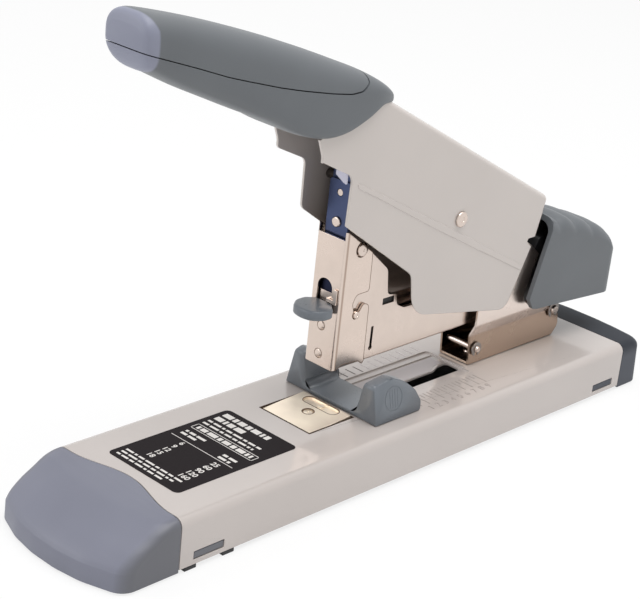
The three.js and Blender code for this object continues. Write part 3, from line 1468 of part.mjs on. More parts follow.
const magazine = movingGroup("magazine_swing", MAGAZINE_PIVOT);
place(magazine, "magazine_channel", NICKEL, magazineChannel());
place(magazine, "staple_rail", NICKEL, stapleRail());
place(magazine, "head_cover", NICKEL, headCover());
place(magazine, "upper_pin_right", NICKEL, headPin(HEAD_PINS[0], 2.6, 1));
place(magazine, "upper_pin_left", NICKEL, headPin(HEAD_PINS[0], 2.6, -1));
place(magazine, "lower_pin_right", NICKEL, headPin(HEAD_PINS[1], 1.7, 1));
place(magazine, "lower_pin_left", NICKEL, headPin(HEAD_PINS[1], 1.7, -1));

const latch = movingGroup("latch_slide", [HEAD_FRONT, 47]);
place(latch, "thumb_latch", GREY_PLASTIC, thumbLatch());
place(latch, "latch_plate", NICKEL, latchSlide());

const driver = movingGroup("driver_slide", [BLADE_FRONT, DRIVER_BOTTOM]);
place(driver, "driver_blade", BLUED_STEEL, driverBlade());
place(driver, "driver_carrier", NICKEL, driverCarrier());
place(driver, "driver_rivet", NICKEL, driverRivet());

const loader = movingGroup("loader_slide", [KNOB_REAR, ROD_H]);
place(loader, "knob_core", BLACK_PLASTIC, knobCore());
place(loader, "rear_knob_hood", GREY_PLASTIC, rearKnobHood());
place(loader, "knob_screw", HARD_STEEL, knobScrew());
place(loader, "pusher_rod", HARD_STEEL, pusherRod());
place(loader, "pusher_spring", SPRING_STEEL, pusherSpring());

const pusher = movingGroup("pusher_slide", [RAIL_FRONT, ROD_H]);
place(pusher, "staple_pusher", BLACK_PLASTIC, staplePusher());

const handle = movingGroup("handle_swing", HANDLE_PIVOT);
place(handle, "handle_frame", PAINTED_STEEL, handleFrame());
place(handle, "push_bar", NICKEL, pushBar());
place(handle, "grip_lower", GREY_PLASTIC, gripLower());
place(handle, "grip_upper", GREY_PLASTIC, gripUpper());
GRIP_SCREWS.forEach((y, i) => place(handle, `grip_screw_${i + 1}`, HARD_STEEL, gripScrew(y)));

export default stapler;
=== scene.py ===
import json
import math

import bmesh
import bpy
from mathutils import Matrix, Vector


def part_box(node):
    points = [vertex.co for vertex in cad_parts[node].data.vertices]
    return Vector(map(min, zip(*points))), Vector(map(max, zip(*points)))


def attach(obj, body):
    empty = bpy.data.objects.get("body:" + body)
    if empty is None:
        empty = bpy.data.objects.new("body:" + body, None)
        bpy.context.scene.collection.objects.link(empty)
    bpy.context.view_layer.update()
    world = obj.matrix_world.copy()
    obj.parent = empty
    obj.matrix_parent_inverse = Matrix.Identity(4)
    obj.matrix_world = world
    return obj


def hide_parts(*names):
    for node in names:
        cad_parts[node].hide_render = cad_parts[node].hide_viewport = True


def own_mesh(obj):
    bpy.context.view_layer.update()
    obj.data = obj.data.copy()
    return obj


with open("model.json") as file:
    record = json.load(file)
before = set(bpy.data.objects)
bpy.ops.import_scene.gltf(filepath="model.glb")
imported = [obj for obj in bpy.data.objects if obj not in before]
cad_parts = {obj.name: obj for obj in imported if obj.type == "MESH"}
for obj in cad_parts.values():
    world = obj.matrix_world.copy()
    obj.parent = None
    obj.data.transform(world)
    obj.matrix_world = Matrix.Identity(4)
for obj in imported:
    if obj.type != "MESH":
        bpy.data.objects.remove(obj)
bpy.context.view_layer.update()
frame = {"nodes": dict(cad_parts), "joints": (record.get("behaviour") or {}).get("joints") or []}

# ---------------------------------------------------------------- sizes, in millimetres

MM = 0.001


def room(node):
    """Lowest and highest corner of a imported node, in millimetres."""
    low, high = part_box(node)
    return low / MM, high / MM


def pivot(joint):
    """[Y, height above the deck] of a hinge."""
    row = next(j for j in frame["joints"] if j["name"] == joint)
    return row["pos_m"][1] / MM, row["pos_m"][2] / MM - DECK


GAP = 0.3  # between two pieces that are fastened together
RUN = 0.5  # beside a piece that moves
BASE_SHEET = 1.2
MAGAZINE_SHEET = 0.8
COVER_SHEET = 1
BRACKET_SHEET = 1.1
FRAME_SHEET = 1.2
DRIVER_SHEET = 0.9
CAP_WALL = 2.4

BASE_HALF = room("base_channel")[1].x
DECK = room("base_channel")[1].z
SKIRT = room("base_channel")[0].z
STEEL_FRONT = room("base_channel")[0].y - GAP
STEEL_REAR = room("base_channel")[1].y
NOSE_Y = room("front_cap")[0].y
TAIL_Y = room("rear_cap")[1].y
CAP_FLOOR = room("front_cap")[0].z
BASE_EDGE = 4
SNAP_LENGTH = 16
SNAP_LOW, SNAP_HIGH = 4.2, 7.8
SNAP_STARTS = [STEEL_FRONT + 7.4, STEEL_REAR - 5.7 - SNAP_LENGTH]
POCKET_DEPTH = 2.4  # of the hollow that the anvil lies in
GROOVE_DEPTH = 1.4

ANVIL_FRONT, ANVIL_REAR = room("anvil_plate")[0].y, room("anvil_plate")[1].y
ANVIL_HALF = room("anvil_plate")[1].x
ANVIL_TOP = room("anvil_plate")[1].z
ANVIL_RIVET = (0, ANVIL_FRONT + 14)
PANEL_HALF = 13.6
PANEL_REAR = 62.5
PANEL_DEPTH = 0.8
SLOT = {"left": 2.2, "right": 8.5, "front": -16, "rear": PANEL_REAR - 1}
GROOVE = (-10, -8.7)

GUIDE_FRONT = room("paper_guide")[0].y
GUIDE_TOP = room("paper_guide")[1].z - DECK
GUIDE_BAR = 2.1
GUIDE_DEPTH = 20
GUIDE_HALF = 15.5
GUIDE_EAR = 11.5

HANDLE_PIVOT = pivot("handle_swing")
MAGAZINE_PIVOT = pivot("magazine_swing")
CROSS_ROD = (69.8, 8)
HANDLE_ROD_R = 2.5
MAGAZINE_PIN_R = 2.3
CROSS_ROD_R = 1.6
RIVET_R = 1.8
BRACKET_RIVETS = [(0, CROSS_ROD[0] + 8), (0, MAGAZINE_PIVOT[0] - 10)]
MAGAZINE_IN = 6.5
MAGAZINE_OUT = MAGAZINE_IN + MAGAZINE_SHEET
COVER_IN = MAGAZINE_OUT + GAP
COVER_OUT = COVER_IN + COVER_SHEET
BRACKET_IN = MAGAZINE_OUT + 0.4
BRACKET_OUT = BRACKET_IN + BRACKET_SHEET
ARM_IN = room("hinge_bracket")[1].x - BRACKET_SHEET
ARM_OUT = room("hinge_bracket")[1].x
FRAME_IN = ARM_OUT + RUN
FRAME_OUT = FRAME_IN + FRAME_SHEET
FRAME_SLOPE = 0.5206
FRAME_RISE = 32.6
FRAME_NOSE_Y = -17
TONGUE_START, TONGUE_END = -10, -106
TONGUE_SLOPE = 0.2955
TONGUE_HALF = 9
TONGUE_DEPTH = 10
GRIP_SCREWS = (-128, -66)

HEAD_FRONT = room("head_cover")[0].y
HEAD_REAR = HEAD_FRONT + 18
HEAD_LOW = 21.3
HEAD_TOP = 81.1
UPPER_PIN, LOWER_PIN = (-18, 75.6), (-17.5, 45.5)
STUB_R = 1.5
DIMPLES = [(-0.7, 27), (-0.7, 40)]  # as [x, height above the deck] on the front of the head's cover
MAGAZINE_LOW = 21
MAGAZINE_REAR = 122
MAGAZINE_TOP = 41
DRIVER_TOP = 105
BLADE_FRONT = HEAD_FRONT + COVER_SHEET + 1.2
CARRIER_FRONT = BLADE_FRONT + DRIVER_SHEET + GAP
DRIVER_STUD = (0, DRIVER_TOP - 5.3)
DRIVER_RIVET = (0, DRIVER_TOP - 18.1)
DRIVER_RIVET_R = 1.2
COIL_WIRE = 0.9

KNOB_REAR = room("rear_knob_hood")[1].y
CORE_FRONT = room("knob_core")[0].y
HOOD_OUT = room("rear_knob_hood")[1].x
KNOB_WALL = 2.4
KNOB_SCREW_H = 25.6

FOLD_ANGLE = math.radians(38)  # two faces that meet at more than this have an edge between them


def frame_top(y):
    """Height of the handle frame's sloping top line above the deck."""
    return HANDLE_PIVOT[1] + FRAME_RISE - FRAME_SLOPE * (y - HANDLE_PIVOT[0])


def tongue_top(y):
    """Height of the top of the handle's tongue above the deck."""
    return frame_top(TONGUE_START) - 0.2 + TONGUE_SLOPE * (TONGUE_START - y)


FRAME_NOSE = (FRAME_NOSE_Y, frame_top(FRAME_NOSE_Y))


# ---------------------------------------------------------------- shapes


def outline(corners, arc=0.17, parts=0):
    """A closed outline from (a, b, radius) corners; a corner with no radius stays sharp."""
    points = []
    for i, corner in enumerate(corners):
        here = Vector(corner[:2])
        radius = corner[2] if len(corner) > 2 else 0
        before = Vector(corners[i - 1][:2]) - here
        after = Vector(corners[(i + 1) % len(corners)][:2]) - here
        half = before.angle(after) / 2
        reach = min(radius / math.tan(half), 0.49 * before.length, 0.49 * after.length)
        if reach < 0.01:
            points.append(tuple(here))
            continue
        before.normalize()
        after.normalize()
        centre = here + (before + after).normalized() * reach / math.cos(half)
        start = here + before * reach - centre
        end = here + after * reach - centre
        turn = math.atan2(start.x * end.y - start.y * end.x, start.dot(end))
        count = parts or max(2, math.ceil(abs(turn) / arc))
        for k in range(count + 1):
            points.append(tuple(centre + Matrix.Rotation(turn * k / count, 2) @ start))
    return points


def even_outline(right, parts=0):
    """An outline from the corners of its right half, and their mirror image on the left."""
    left = [(-corner[0], *corner[1:]) for corner in reversed(right)]
    return outline([*left, *right], parts=parts)


def solid(vertices, faces):
    """A closed mesh object with its faces pointing out."""
    mesh = bpy.data.meshes.new("solid")
    mesh.from_pydata([tuple(v) for v in vertices], [], faces)
    work = bmesh.new()
    work.from_mesh(mesh)
    bmesh.ops.recalc_face_normals(work, faces=work.faces)
    work.to_mesh(mesh)
    work.free()
    piece = bpy.data.objects.new("solid", mesh)
    bpy.context.scene.collection.objects.link(piece)
    return piece


def spot(axis, a, b, t):
    """A point from its place on an outline (a, b) and its place t along the axis."""
    return {"x": (t, a, b), "y": (a, t, b), "z": (a, b, t)}[axis]


def prism(axis, points, start, end):
    """An outline given thickness along an axis: [y, z] along X, [x, z] along Y, [x, y] along Z."""
    count = len(points)
    vertices = [spot(axis, a, b, t) for t in (start, end) for a, b in points]
    sides = [(k, (k + 1) % count, count + (k + 1) % count, count + k) for k in range(count)]
    return solid(vertices, [tuple(range(count)), tuple(range(count, 2 * count)), *sides])


def box(x0, x1, y0, y1, z0, z1):
    return prism("z", [(x0, y0), (x1, y0), (x1, y1), (x0, y1)], z0, z1)


def skin(rings):
    """A body skinned over rings that all have the same number of points."""
    size = len(rings[0])
    faces = []
    for low in range(0, (len(rings) - 1) * size, size):
        high = low + size
        faces += [(low + k, low + (k + 1) % size, high + (k + 1) % size, high + k) for k in range(size)]
    faces += [tuple(range(size)), tuple(range(len(rings) * size - size, len(rings) * size))]
    return solid([point for ring in rings for point in ring], faces)


def turned(axis, centre, profile, sides=40):
    """A turned piece from its (radius, place along the axis) profile."""
    rings = []
    for radius, t in profile:
        ring = []
        for k in range(sides):
            angle = 2 * math.pi * k / sides
            a = centre[0] + max(radius, 0.02) * math.cos(angle)
            b = centre[1] + max(radius, 0.02) * math.sin(angle)
            ring.append(spot(axis, a, b, t))
        rings.append(ring)
    return skin(rings)


def rod(axis, centre, radius, start, end, sides=40):
    return turned(axis, centre, [(radius, start), (radius, end)], sides)


def tube(path, radius, sides=12):
    """A round wire along a path of points."""
    rings = []
    across = None
    for i, point in enumerate(path):
        way = (path[min(i + 1, len(path) - 1)] - path[max(i - 1, 0)]).normalized()
        if across is None:
            across = way.orthogonal().normalized()
        across = (across - way * across.dot(way)).normalized()
        other = way.cross(across)
        ring = []
        for k in range(sides):
            angle = 2 * math.pi * k / sides
            ring.append(point + radius * (across * math.cos(angle) + other * math.sin(angle)))
        rings.append(ring)
    return skin(rings)


def smooth_curve(points, parts):
    """A smooth line through points, with a number of parts between each two."""
    ends = [2 * points[0] - points[1], *points, 2 * points[-1] - points[-2]]
    line = []
    for i in range(1, len(ends) - 2):
        a, b, c, d = ends[i - 1 : i + 3]
        for k in range(parts):
            t = k / parts
            even = 2 * b + (c - a) * t + (2 * a - 5 * b + 4 * c - d) * t**2
            line.append(0.5 * (even + (3 * b - a - 3 * c + d) * t**3))
    return [*line, points[-1]]


def bake_in(piece):
    """Keeps what a piece's modifiers make of it as its own mesh."""
    graph = bpy.context.evaluated_depsgraph_get()
    mesh = bpy.data.meshes.new_from_object(piece.evaluated_get(graph))
    old = piece.data
    piece.modifiers.clear()
    piece.data = mesh
    bpy.data.meshes.remove(old)


def combine(operation, first, others):
    """One boolean step after another; the other pieces are used up."""
    for other in others:
        step = first.modifiers.new("step", "BOOLEAN")
        step.operation = operation
        step.solver = "MANIFOLD"
        step.object = other
        bake_in(first)
        drop(other)
    return first


def drop(piece):
    mesh = piece.data
    bpy.data.objects.remove(piece)
    bpy.data.meshes.remove(mesh)


def join(first, *others):
    return combine("UNION", first, others)


def cut(first, *others):
    return combine("DIFFERENCE", first, others)


def common(first, *others):
    return combine("INTERSECT", first, others)


def moved(piece, x=0, y=0, z=0):
    """The same piece, shifted."""
    piece.data.transform(Matrix.Translation((x, y, z)))
    return piece


def turned_by(piece, degrees, axis, x=0, y=0, z=0):
    """The piece turned about its origin and then moved."""
    piece.data.transform(Matrix.Translation((x, y, z)) @ Matrix.Rotation(math.radians(degrees), 4, axis))
    return piece


def copy(piece):
    twin = bpy.data.objects.new("solid", piece.data.copy())
    bpy.context.scene.collection.objects.link(twin)
    return twin


def mirrored(piece):
    """A copy on the other side of the object."""
    twin = copy(piece)
    twin.data.transform(Matrix.Scale(-1, 4, (1, 0, 0)))
    twin.data.flip_normals()
    return twin


def both_sides(points, x0, x1):
    """The same [y, z] outline given thickness on both sides."""
    return join(prism("x", points, x0, x1), prism("x", points, -x1, -x0))


def rounded(x0, x1, y0, y1, near=0, far=None):
    """A rectangle's outline, with one radius at its y0 end and the same or another at its y1 end."""
    far = near if far is None else far
    return outline([(x0, y0, near), (x1, y0, near), (x1, y1, far), (x0, y1, far)])


def round_box(half, top, bottom, radius):
    return rounded(-half, half, bottom, top, 0, radius)


def bevel(piece, width):
    """A modifier that rounds a piece's edges."""
    edge = piece.modifiers.new("edge", "BEVEL")
    edge.width = width
    edge.segments = 2
    edge.limit_method = "ANGLE"
    edge.angle_limit = FOLD_ANGLE
    edge.use_clamp_overlap = False
    edge.harden_normals = True
    return edge


def round_edges(piece, width):
    """Rounds a piece's edges for good."""
    bevel(piece, width).miter_outer = "MITER_ARC"
    bake_in(piece)


def crease(piece):
    """Keeps edges crisp without rounding them."""
    work = bmesh.new()
    work.from_mesh(piece.data)
    for line in work.edges:
        line.smooth = line.calc_face_angle(0) < FOLD_ANGLE
    work.to_mesh(piece.data)
    work.free()


def shade_smooth(piece):
    for face in piece.data.polygons:
        face.use_smooth = True


def coat(piece, finish):
    """Gives a piece one finish all over."""
    piece.data.materials.clear()
    piece.data.materials.append(finish.material)


def dress(piece, name, body, finish, stands_for=(), edge=0.2, lift=DECK):
    """Finishes a piece: its height, fine edges, material, and the body and nodes it goes with."""
    piece.name = name
    piece.data.name = name
    moved(piece, z=lift)
    shade_smooth(piece)
    if edge:
        round_edges(piece, edge)
    else:
        crease(piece)
    piece.data.transform(Matrix.Scale(MM, 4))
    coat(piece, finish)
    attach(piece, body)
    if stands_for:
        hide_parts(*stands_for)
    return piece


def keep(nodes, finish, edge=0.15):
    """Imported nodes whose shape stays, with fine edges and a finish of their own."""
    for name in nodes:
        node = frame["nodes"][name]
        weld = node.modifiers.new("weld", "WELD")
        weld.merge_threshold = 0.01 * MM
        shade_smooth(node)
        bevel(node, edge * MM)
        coat(node, finish)


# ---------------------------------------------------------------- finishes


def colour(red, green, blue):
    """A colour written in 0 to 255, as the linear values that a shader takes."""

    def linear(value):
        value /= 255
        return value / 12.92 if value <= 0.04045 else ((value + 0.055) / 1.055) ** 2.4

    return (linear(red), linear(green), linear(blue), 1)


class Wire:
    """One output of a shader node, for use in Python's own arithmetic."""

    def __init__(self, nodes, socket):
        self.nodes = nodes
        self.socket = socket

    def maths(self, operation, first, second):
        return self.nodes.add("ShaderNodeMath", {"operation": operation}, {0: first, 1: second})

    def __add__(self, other):
        return self.maths("ADD", self, other)

    def __radd__(self, other):
        return self.maths("ADD", other, self)

    def __sub__(self, other):
        return self.maths("SUBTRACT", self, other)

    def __rsub__(self, other):
        return self.maths("SUBTRACT", other, self)

    def __mul__(self, other):
        return self.maths("MULTIPLY", self, other)

    def __rmul__(self, other):
        return self.maths("MULTIPLY", other, self)

    def __abs__(self):
        return self.maths("ABSOLUTE", self, 0)

    def over(self, other):
        """The larger of two values."""
        return self.maths("MAXIMUM", self, other)


class Nodes:
    """The shader nodes of a material or of the world."""

    def __init__(self, owner):
        owner.use_nodes = True
        self.tree = owner.node_tree

    def add(self, kind, settings=None, inputs=None, output=0):
        """A node of a kind, with its settings, then the values or links of its sockets."""
        node = self.tree.nodes.new(kind)
        for name, value in (settings or {}).items():
            setattr(node, name, value)
        self.fill(node, inputs or {})
        return Wire(self, node.outputs[output])

    def fill(self, node, inputs):
        """Sets or links the sockets of a node."""
        for name, value in inputs.items():
            if isinstance(value, Wire):
                self.tree.links.new(value.socket, node.inputs[name])
            else:
                node.inputs[name].default_value = value

    def whiten(self, shader, end, share):
        """Lays a white glow over a shader by a share, for rays from the camera and in reflections."""
        rays = ("Is Camera Ray", "Is Glossy Ray", "Is Transmission Ray")
        camera, glossy, clear = (self.add("ShaderNodeLightPath", output=ray) for ray in rays)
        glow = self.add("ShaderNodeEmission")
        plain = Wire(self, self.tree.nodes[shader].outputs[0])
        seen = camera.over(glossy).over(clear) * share
        whole = self.add("ShaderNodeMixShader", None, {0: seen, 1: plain, 2: glow})
        self.fill(self.tree.nodes[end], {"Surface": whole})


class Finish(Nodes):
    """A material and the nodes that make its surface."""

    def __init__(self, name, slot, **even):
        self.material = bpy.data.materials.new(name)
        super().__init__(self.material)
        self.slot = slot
        self.place = self.add("ShaderNodeTexCoord", output="Object")
        self.surface(**even)

    def surface(self, **inputs):
        """Sets or links the shader's own sockets, named with _ for a space."""
        shader = self.tree.nodes["Principled BSDF"]
        self.fill(shader, {socket.replace("_", " "): value for socket, value in inputs.items()})

    def noise(self, scale, detail=2.0, squeeze=(1, 1, 1)):
        """Noise with features about 1 / scale metres across, made narrower along each axis by squeeze."""
        place = self.add("ShaderNodeVectorMath", {"operation": "MULTIPLY"}, {0: self.place, 1: squeeze})
        return self.add("ShaderNodeTexNoise", None, {"Vector": place, "Scale": scale, "Detail": detail})

    def mix(self, factor, first, second):
        """Two colours mixed by a factor."""
        colours = {0: factor, 6: first, 7: second}
        return self.add("ShaderNodeMix", {"data_type": "RGBA"}, colours, output=2)

    def along(self, axis):
        """The place along an axis, in millimetres."""
        split = self.add("ShaderNodeSeparateXYZ", None, {"Vector": self.place}, output=axis)
        return split * (1 / MM)

    def ramp(self, value, low, high):
        """Nought below low, one above high, and even between them."""
        return self.add("ShaderNodeMapRange", None, {"Value": value, "From Min": low, "From Max": high})

    def relief(self, height, depth):
        """A bump from a height of 0 to 1 that stands for a depth in millimetres."""
        bump = self.add("ShaderNodeBump", None, {"Height": height, "Distance": depth * MM})
        self.surface(Normal=bump)


def shaded(tone, by):
    """The same colour, lighter or darker by a share."""
    return tuple(min(1, channel * by) for channel in tone[:3]) + (1,)


EVEN = (1, 1, 1)
ACROSS_Y = (1, 14, 1)  # a grain drawn across the length
ACROSS_Z = (1, 1, 12)  # a grain drawn level
SATIN = 1800  # of films, print and worn edges, in features a metre


def plate(name, slot, tone, rough, brush=EVEN, cloudy=0.05, low=None, fold=None):
    """Bright plated or ground steel, with a drawn grain and a cloudiness.

    low is the (tone, top) of a painted shade low down, and fold the (front, tone) of a painted shade line
    along a fold.
    """
    metal = Finish(name, slot, Metallic=1)
    cloud = metal.noise(60, 3)
    grain = metal.noise(900, 2, brush)
    shade = metal.ramp(cloud, 0.32, 0.68)
    tint = metal.mix(shade, shaded(tone, 1 - cloudy), shaded(tone, 1 + cloudy))
    # painted shade: the part below top is given a darker tone
    if low:
        low_shade_tone, top = low
        high = metal.ramp(metal.along("Z"), top - 1, top + 0.6)
        tint = metal.mix(high, low_shade_tone, tint)
    # painted shade: a dark band along the fold
    if fold:
        start, fold_shade_tone = fold
        place = metal.along("Y")
        fold_shade_band = metal.ramp(place, start, start + 0.4) * (1 - metal.ramp(place, start + 0.9, start + 1.5))
        tint = metal.mix(0.7 * fold_shade_band, tint, fold_shade_tone)
    metal.surface(
        Base_Color=tint,
        Roughness=rough + 0.1 * metal.ramp(cloud, 0.35, 0.7) + 0.06 * (grain - 0.5),
    )
    metal.relief(grain, 0.0008)
    return metal


def moulded(name, slot, tone, rough=0.5, grain=2200, depth=0.02, shine=0.45, tip=None, shade_along=None):
    """Injection-moulded plastic with a fine spark-eroded grain.

    tip is the (tone, place) of a painted highlight on a front end, and the last argument the (axis, start,
    end, tone) of a painted shade on a side or the top.
    """
    plastic = Finish(name, slot, Specular_IOR_Level=shine)
    cloud = plastic.noise(35, 2)
    texture = plastic.noise(grain, 1)
    shade = plastic.ramp(cloud, 0.3, 0.7)
    tint = plastic.mix(shade, shaded(tone, 0.965), shaded(tone, 1.035))
    # painted highlight: the front end is given a lighter tone
    if tip:
        crown = 3 * plastic.ramp(plastic.along("Z"), 207, 214)
        behind = plastic.ramp(plastic.along("Y") + crown, tip[1] - 0.5, tip[1] + 0.5)
        tint = plastic.mix(behind, tip[0], tint)
    # painted shade: the colour turns to a darker tone along an axis
    if shade_along:
        axis, start, end, shaded_tone = shade_along
        tint = plastic.mix(plastic.ramp(abs(plastic.along(axis)), start, end), tint, shaded_tone)
    plastic.surface(Base_Color=tint, Roughness=rough + 0.12 * (texture - 0.5))
    plastic.relief(texture, depth)
    return plastic


def painted(name, slot, tone, shaded_inside=None):
    """Stove enamel on steel, smooth and glossy.

    The last argument is the (half width, slope, height) at which a folded piece's inside starts; the inside
    is painted shade, darker towards the bottom.
    """
    paint = Finish(name, slot, Coat_Roughness=0.1, Specular_IOR_Level=0.5)
    cloud = paint.noise(22, 2)
    peel = paint.noise(420, 1)
    speck = paint.noise(3500, 0)
    shade = 0.7 * paint.ramp(cloud, 0.3, 0.7) + 0.3 * speck
    tint = paint.mix(shade, shaded(tone, 0.97), shaded(tone, 1.03))
    # painted shade: the inside of the channel is darker, and darker still towards the bottom
    if shaded_inside:
        side, slope, web = shaded_inside
        beside = paint.ramp(abs(paint.along("X")), side + 0.05, side + 0.3)
        above = paint.ramp(paint.along("Z") + slope * paint.along("Y"), web + 0.1, web + 0.4)
        height = paint.ramp(paint.along("Z"), 98, 142)
        inner = paint.mix(height, colour(118, 108, 102), colour(176, 169, 166))
        tint = paint.mix(beside.over(above), inner, tint)
    paint.surface(
        Base_Color=tint,
        Roughness=0.3 + 0.08 * peel,
        Coat_Weight=0.75 + 0.2 * cloud,
    )
    paint.relief(peel, 0.006)
    return paint


BEIGE = colour(199, 190, 185)
GREY = colour(105, 109, 113)
GRIP_TIP_HIGHLIGHT = colour(140, 143, 160)
# where the painted shade inside the handle frame starts
FRAME_SHADED_INSIDE = (FRAME_IN, FRAME_SLOPE, DECK + frame_top(0) - FRAME_SHEET * 1.13)

PAINT = painted("beige_enamel", "painted_steel", BEIGE)
# the base's enamel in a lighter tone: painted light on the frame's sides
FRAME_PAINT = painted("beige_enamel_folded", "painted_steel", colour(206, 197, 191), FRAME_SHADED_INSIDE)
NICKEL = plate("nickel_plate", "nickel", colour(217, 202, 192), 0.2, ACROSS_Y)
# the magazine's nickel in a lighter tone, darker and browner low down: painted light, and painted shade for
# the shaded deck that it reflects
BRACKET_NICKEL = plate(
    "bracket_nickel",
    "nickel",
    colour(226, 212, 203),
    0.2,
    ACROSS_Y,
    low=(colour(184, 163, 146), DECK + 15.5),
)
# painted shade: a dark band along the head cover's front fold
HEAD_NICKEL = plate(
    "head_nickel",
    "nickel",
    colour(219, 203, 192),
    0.2,
    ACROSS_Z,
    fold=(HEAD_FRONT + 0.7, colour(150, 128, 112)),
)
ANVIL_STEEL = plate("anvil_steel", "hard_steel", colour(250, 235, 217), 0.42, cloudy=0.08)
DARK_STEEL = plate("dark_steel", "hard_steel", colour(150, 145, 142), 0.3)
# painted shade: thin dark lines along edges and round holes, where shade falls in the gaps
EDGE_SHADE = moulded("painted_edge_shade", "nickel", colour(128, 108, 94), 0.7, SATIN, 0, 0.05)
SHADOW_STEEL = moulded("edge_shadow", "hard_steel", colour(70, 56, 46), 0.8, SATIN, 0, 0.05)
SPRING_WIRE = plate("spring_wire", "spring_steel", colour(190, 184, 176), 0.28)
# painted shade: the driver is darker low down, inside the head
BLUED = plate(
    "blued_steel",
    "blued_steel",
    colour(75, 84, 114),
    0.35,
    (1, 1, 10),
    low=(colour(40, 44, 64), DECK + 76),
)
# painted shade: the push bar has the dark tone of the shaded inside of the frame round it
BAR_STEEL = plate("bar_steel", "hard_steel", colour(104, 98, 94), 0.5)
# painted highlight: the grip's front tip is lighter and bluer
GRIP_GREY = moulded("grip_grey", "grey_plastic", GREY, 0.46, tip=(GRIP_TIP_HIGHLIGHT, -141.5))
KNOB_GREY = moulded("knob_grey", "grey_plastic", GREY, 0.46)
# painted shade: the front cap's flank is darker than its top
CAP_LILAC = moulded(
    "cap_lilac",
    "cap_plastic",
    colour(125, 127, 141),
    0.42,
    shade_along=("X", 33.5, 37.8, colour(106, 107, 113)),
)
# painted shade: the rear cap's top is darker, where the knob shades it
CAP_GREY = moulded(
    "cap_grey",
    "cap_plastic",
    colour(93, 96, 103),
    0.5,
    shine=0.08,
    shade_along=("Z", 17, 22.5, colour(60, 63, 69)),
)
GUIDE_GREY = moulded("guide_grey", "guide_plastic", colour(115, 121, 128), 0.3, 1500, 0.008)
BLACK = moulded("black_plastic", "black_plastic", colour(30, 30, 32), 0.45)
RUBBER = moulded("rubber", "rubber", colour(34, 34, 34), 0.85, 1200, 0.03)
LABEL_BLACK = moulded("label_black", "black_plastic", colour(34, 29, 31), 0.5, SATIN, 0.004, 0.05)
PRINT = moulded("label_print", "grey_plastic", colour(236, 232, 228), 0.5, SATIN, 0.003, 0.1)
PALE_PRINT = moulded("deck_print", "grey_plastic", colour(176, 166, 162), 0.45, SATIN, 0.003)
DARK_PRINT = moulded("scale_print", "grey_plastic", colour(96, 88, 84), 0.45, SATIN, 0.003)
# painted highlight: the front lip's pale lilac stands for the light it catches
LIP_HIGHLIGHT = moulded("lip_painted_highlight", "painted_steel", colour(205, 204, 220), 0.4, SATIN, 0.003)
# also the pale sheet on the panel's floor, a painted highlight where the panel lies in shade
STRIP_WHITE = moulded("strip_white", "grey_plastic", colour(214, 206, 206), 0.35, SATIN, 0.003)

# ---------------------------------------------------------------- base


def base_bar(inset, bottom, y0, y1):
    """Box-section bar with the base's rounded top edges, drawn in by inset."""
    half = BASE_HALF - inset
    return prism("y", round_box(half, DECK - inset, bottom, BASE_EDGE - inset / 2), y0, y1)


def deck_edge(x):
    """The seam with the front cap: straight near the sides, lapping back in the middle."""
    across = min(abs(x) / (0.8 * BASE_HALF), 1)
    return STEEL_FRONT + 6.1 * (1 + math.cos(math.pi * across)) / 2


def ahead_of_deck(gap, bottom, top):
    """All that lies ahead of the seam, and a gap past it, from one height to another."""
    side = BASE_HALF + 2
    edge = [(i / 40 * side, deck_edge(i / 40 * side) + gap) for i in range(-40, 41)]
    return prism("z", [*edge, (side, NOSE_Y - 5), (-side, NOSE_Y - 5)], bottom, top)


def base_steel():
    """The pressed steel of the base: a folded box, open below, with its pocket, panel, slot and windows."""
    under = DECK - BASE_SHEET
    pocket_half = ANVIL_HALF + 2 * GAP
    pocket = (ANVIL_FRONT - 2 * GAP, ANVIL_REAR + 2 * GAP)
    steel = cut(
        base_bar(0, SKIRT, STEEL_FRONT - 10, STEEL_REAR),
        base_bar(BASE_SHEET, SKIRT - 1, STEEL_FRONT - 11, STEEL_REAR + 1),
    )
    wall = BASE_SHEET
    skins = []
    for half, front, rear, depth in (
        (pocket_half, pocket[0] - wall, pocket[1], POCKET_DEPTH),
        (PANEL_HALF, pocket[1], PANEL_REAR, PANEL_DEPTH),
    ):
        skins.append(box(-half - wall, half + wall, front, rear + wall, under - depth, under + 0.5))
    panel = rounded(-PANEL_HALF, PANEL_HALF, pocket[1] + wall, PANEL_REAR, 1, 2)
    slot = outline(
        [
            (SLOT["left"], SLOT["front"], 2),
            (SLOT["right"], SLOT["front"], 2),
            (SLOT["right"], SLOT["rear"], 2.8),
            (SLOT["left"] - 2.8, SLOT["rear"], 2),
            (SLOT["left"] - 2.4, SLOT["rear"] - 6, 3),
            (SLOT["left"], SLOT["rear"] - 12, 6),
        ]
    )
    across = (-BASE_HALF - 1, BASE_HALF + 1)
    windows = [box(*across, y, y + SNAP_LENGTH, SNAP_LOW, SNAP_HIGH) for y in SNAP_STARTS]
    return cut(
        join(steel, *skins),
        box(-pocket_half, pocket_half, *pocket, DECK - POCKET_DEPTH, DECK + 1),
        prism("z", panel, DECK - PANEL_DEPTH, DECK + 1),
        prism("z", slot, DECK - 6, DECK + 1),
        box(*GROOVE, SLOT["front"], SLOT["rear"], DECK - GROOVE_DEPTH, DECK + 1),
        *[rod("z", rivet, RIVET_R + GAP, under - 2, DECK + 1) for rivet in BRACKET_RIVETS],
        *windows,
        ahead_of_deck(GAP, -1, DECK + 1),
    )


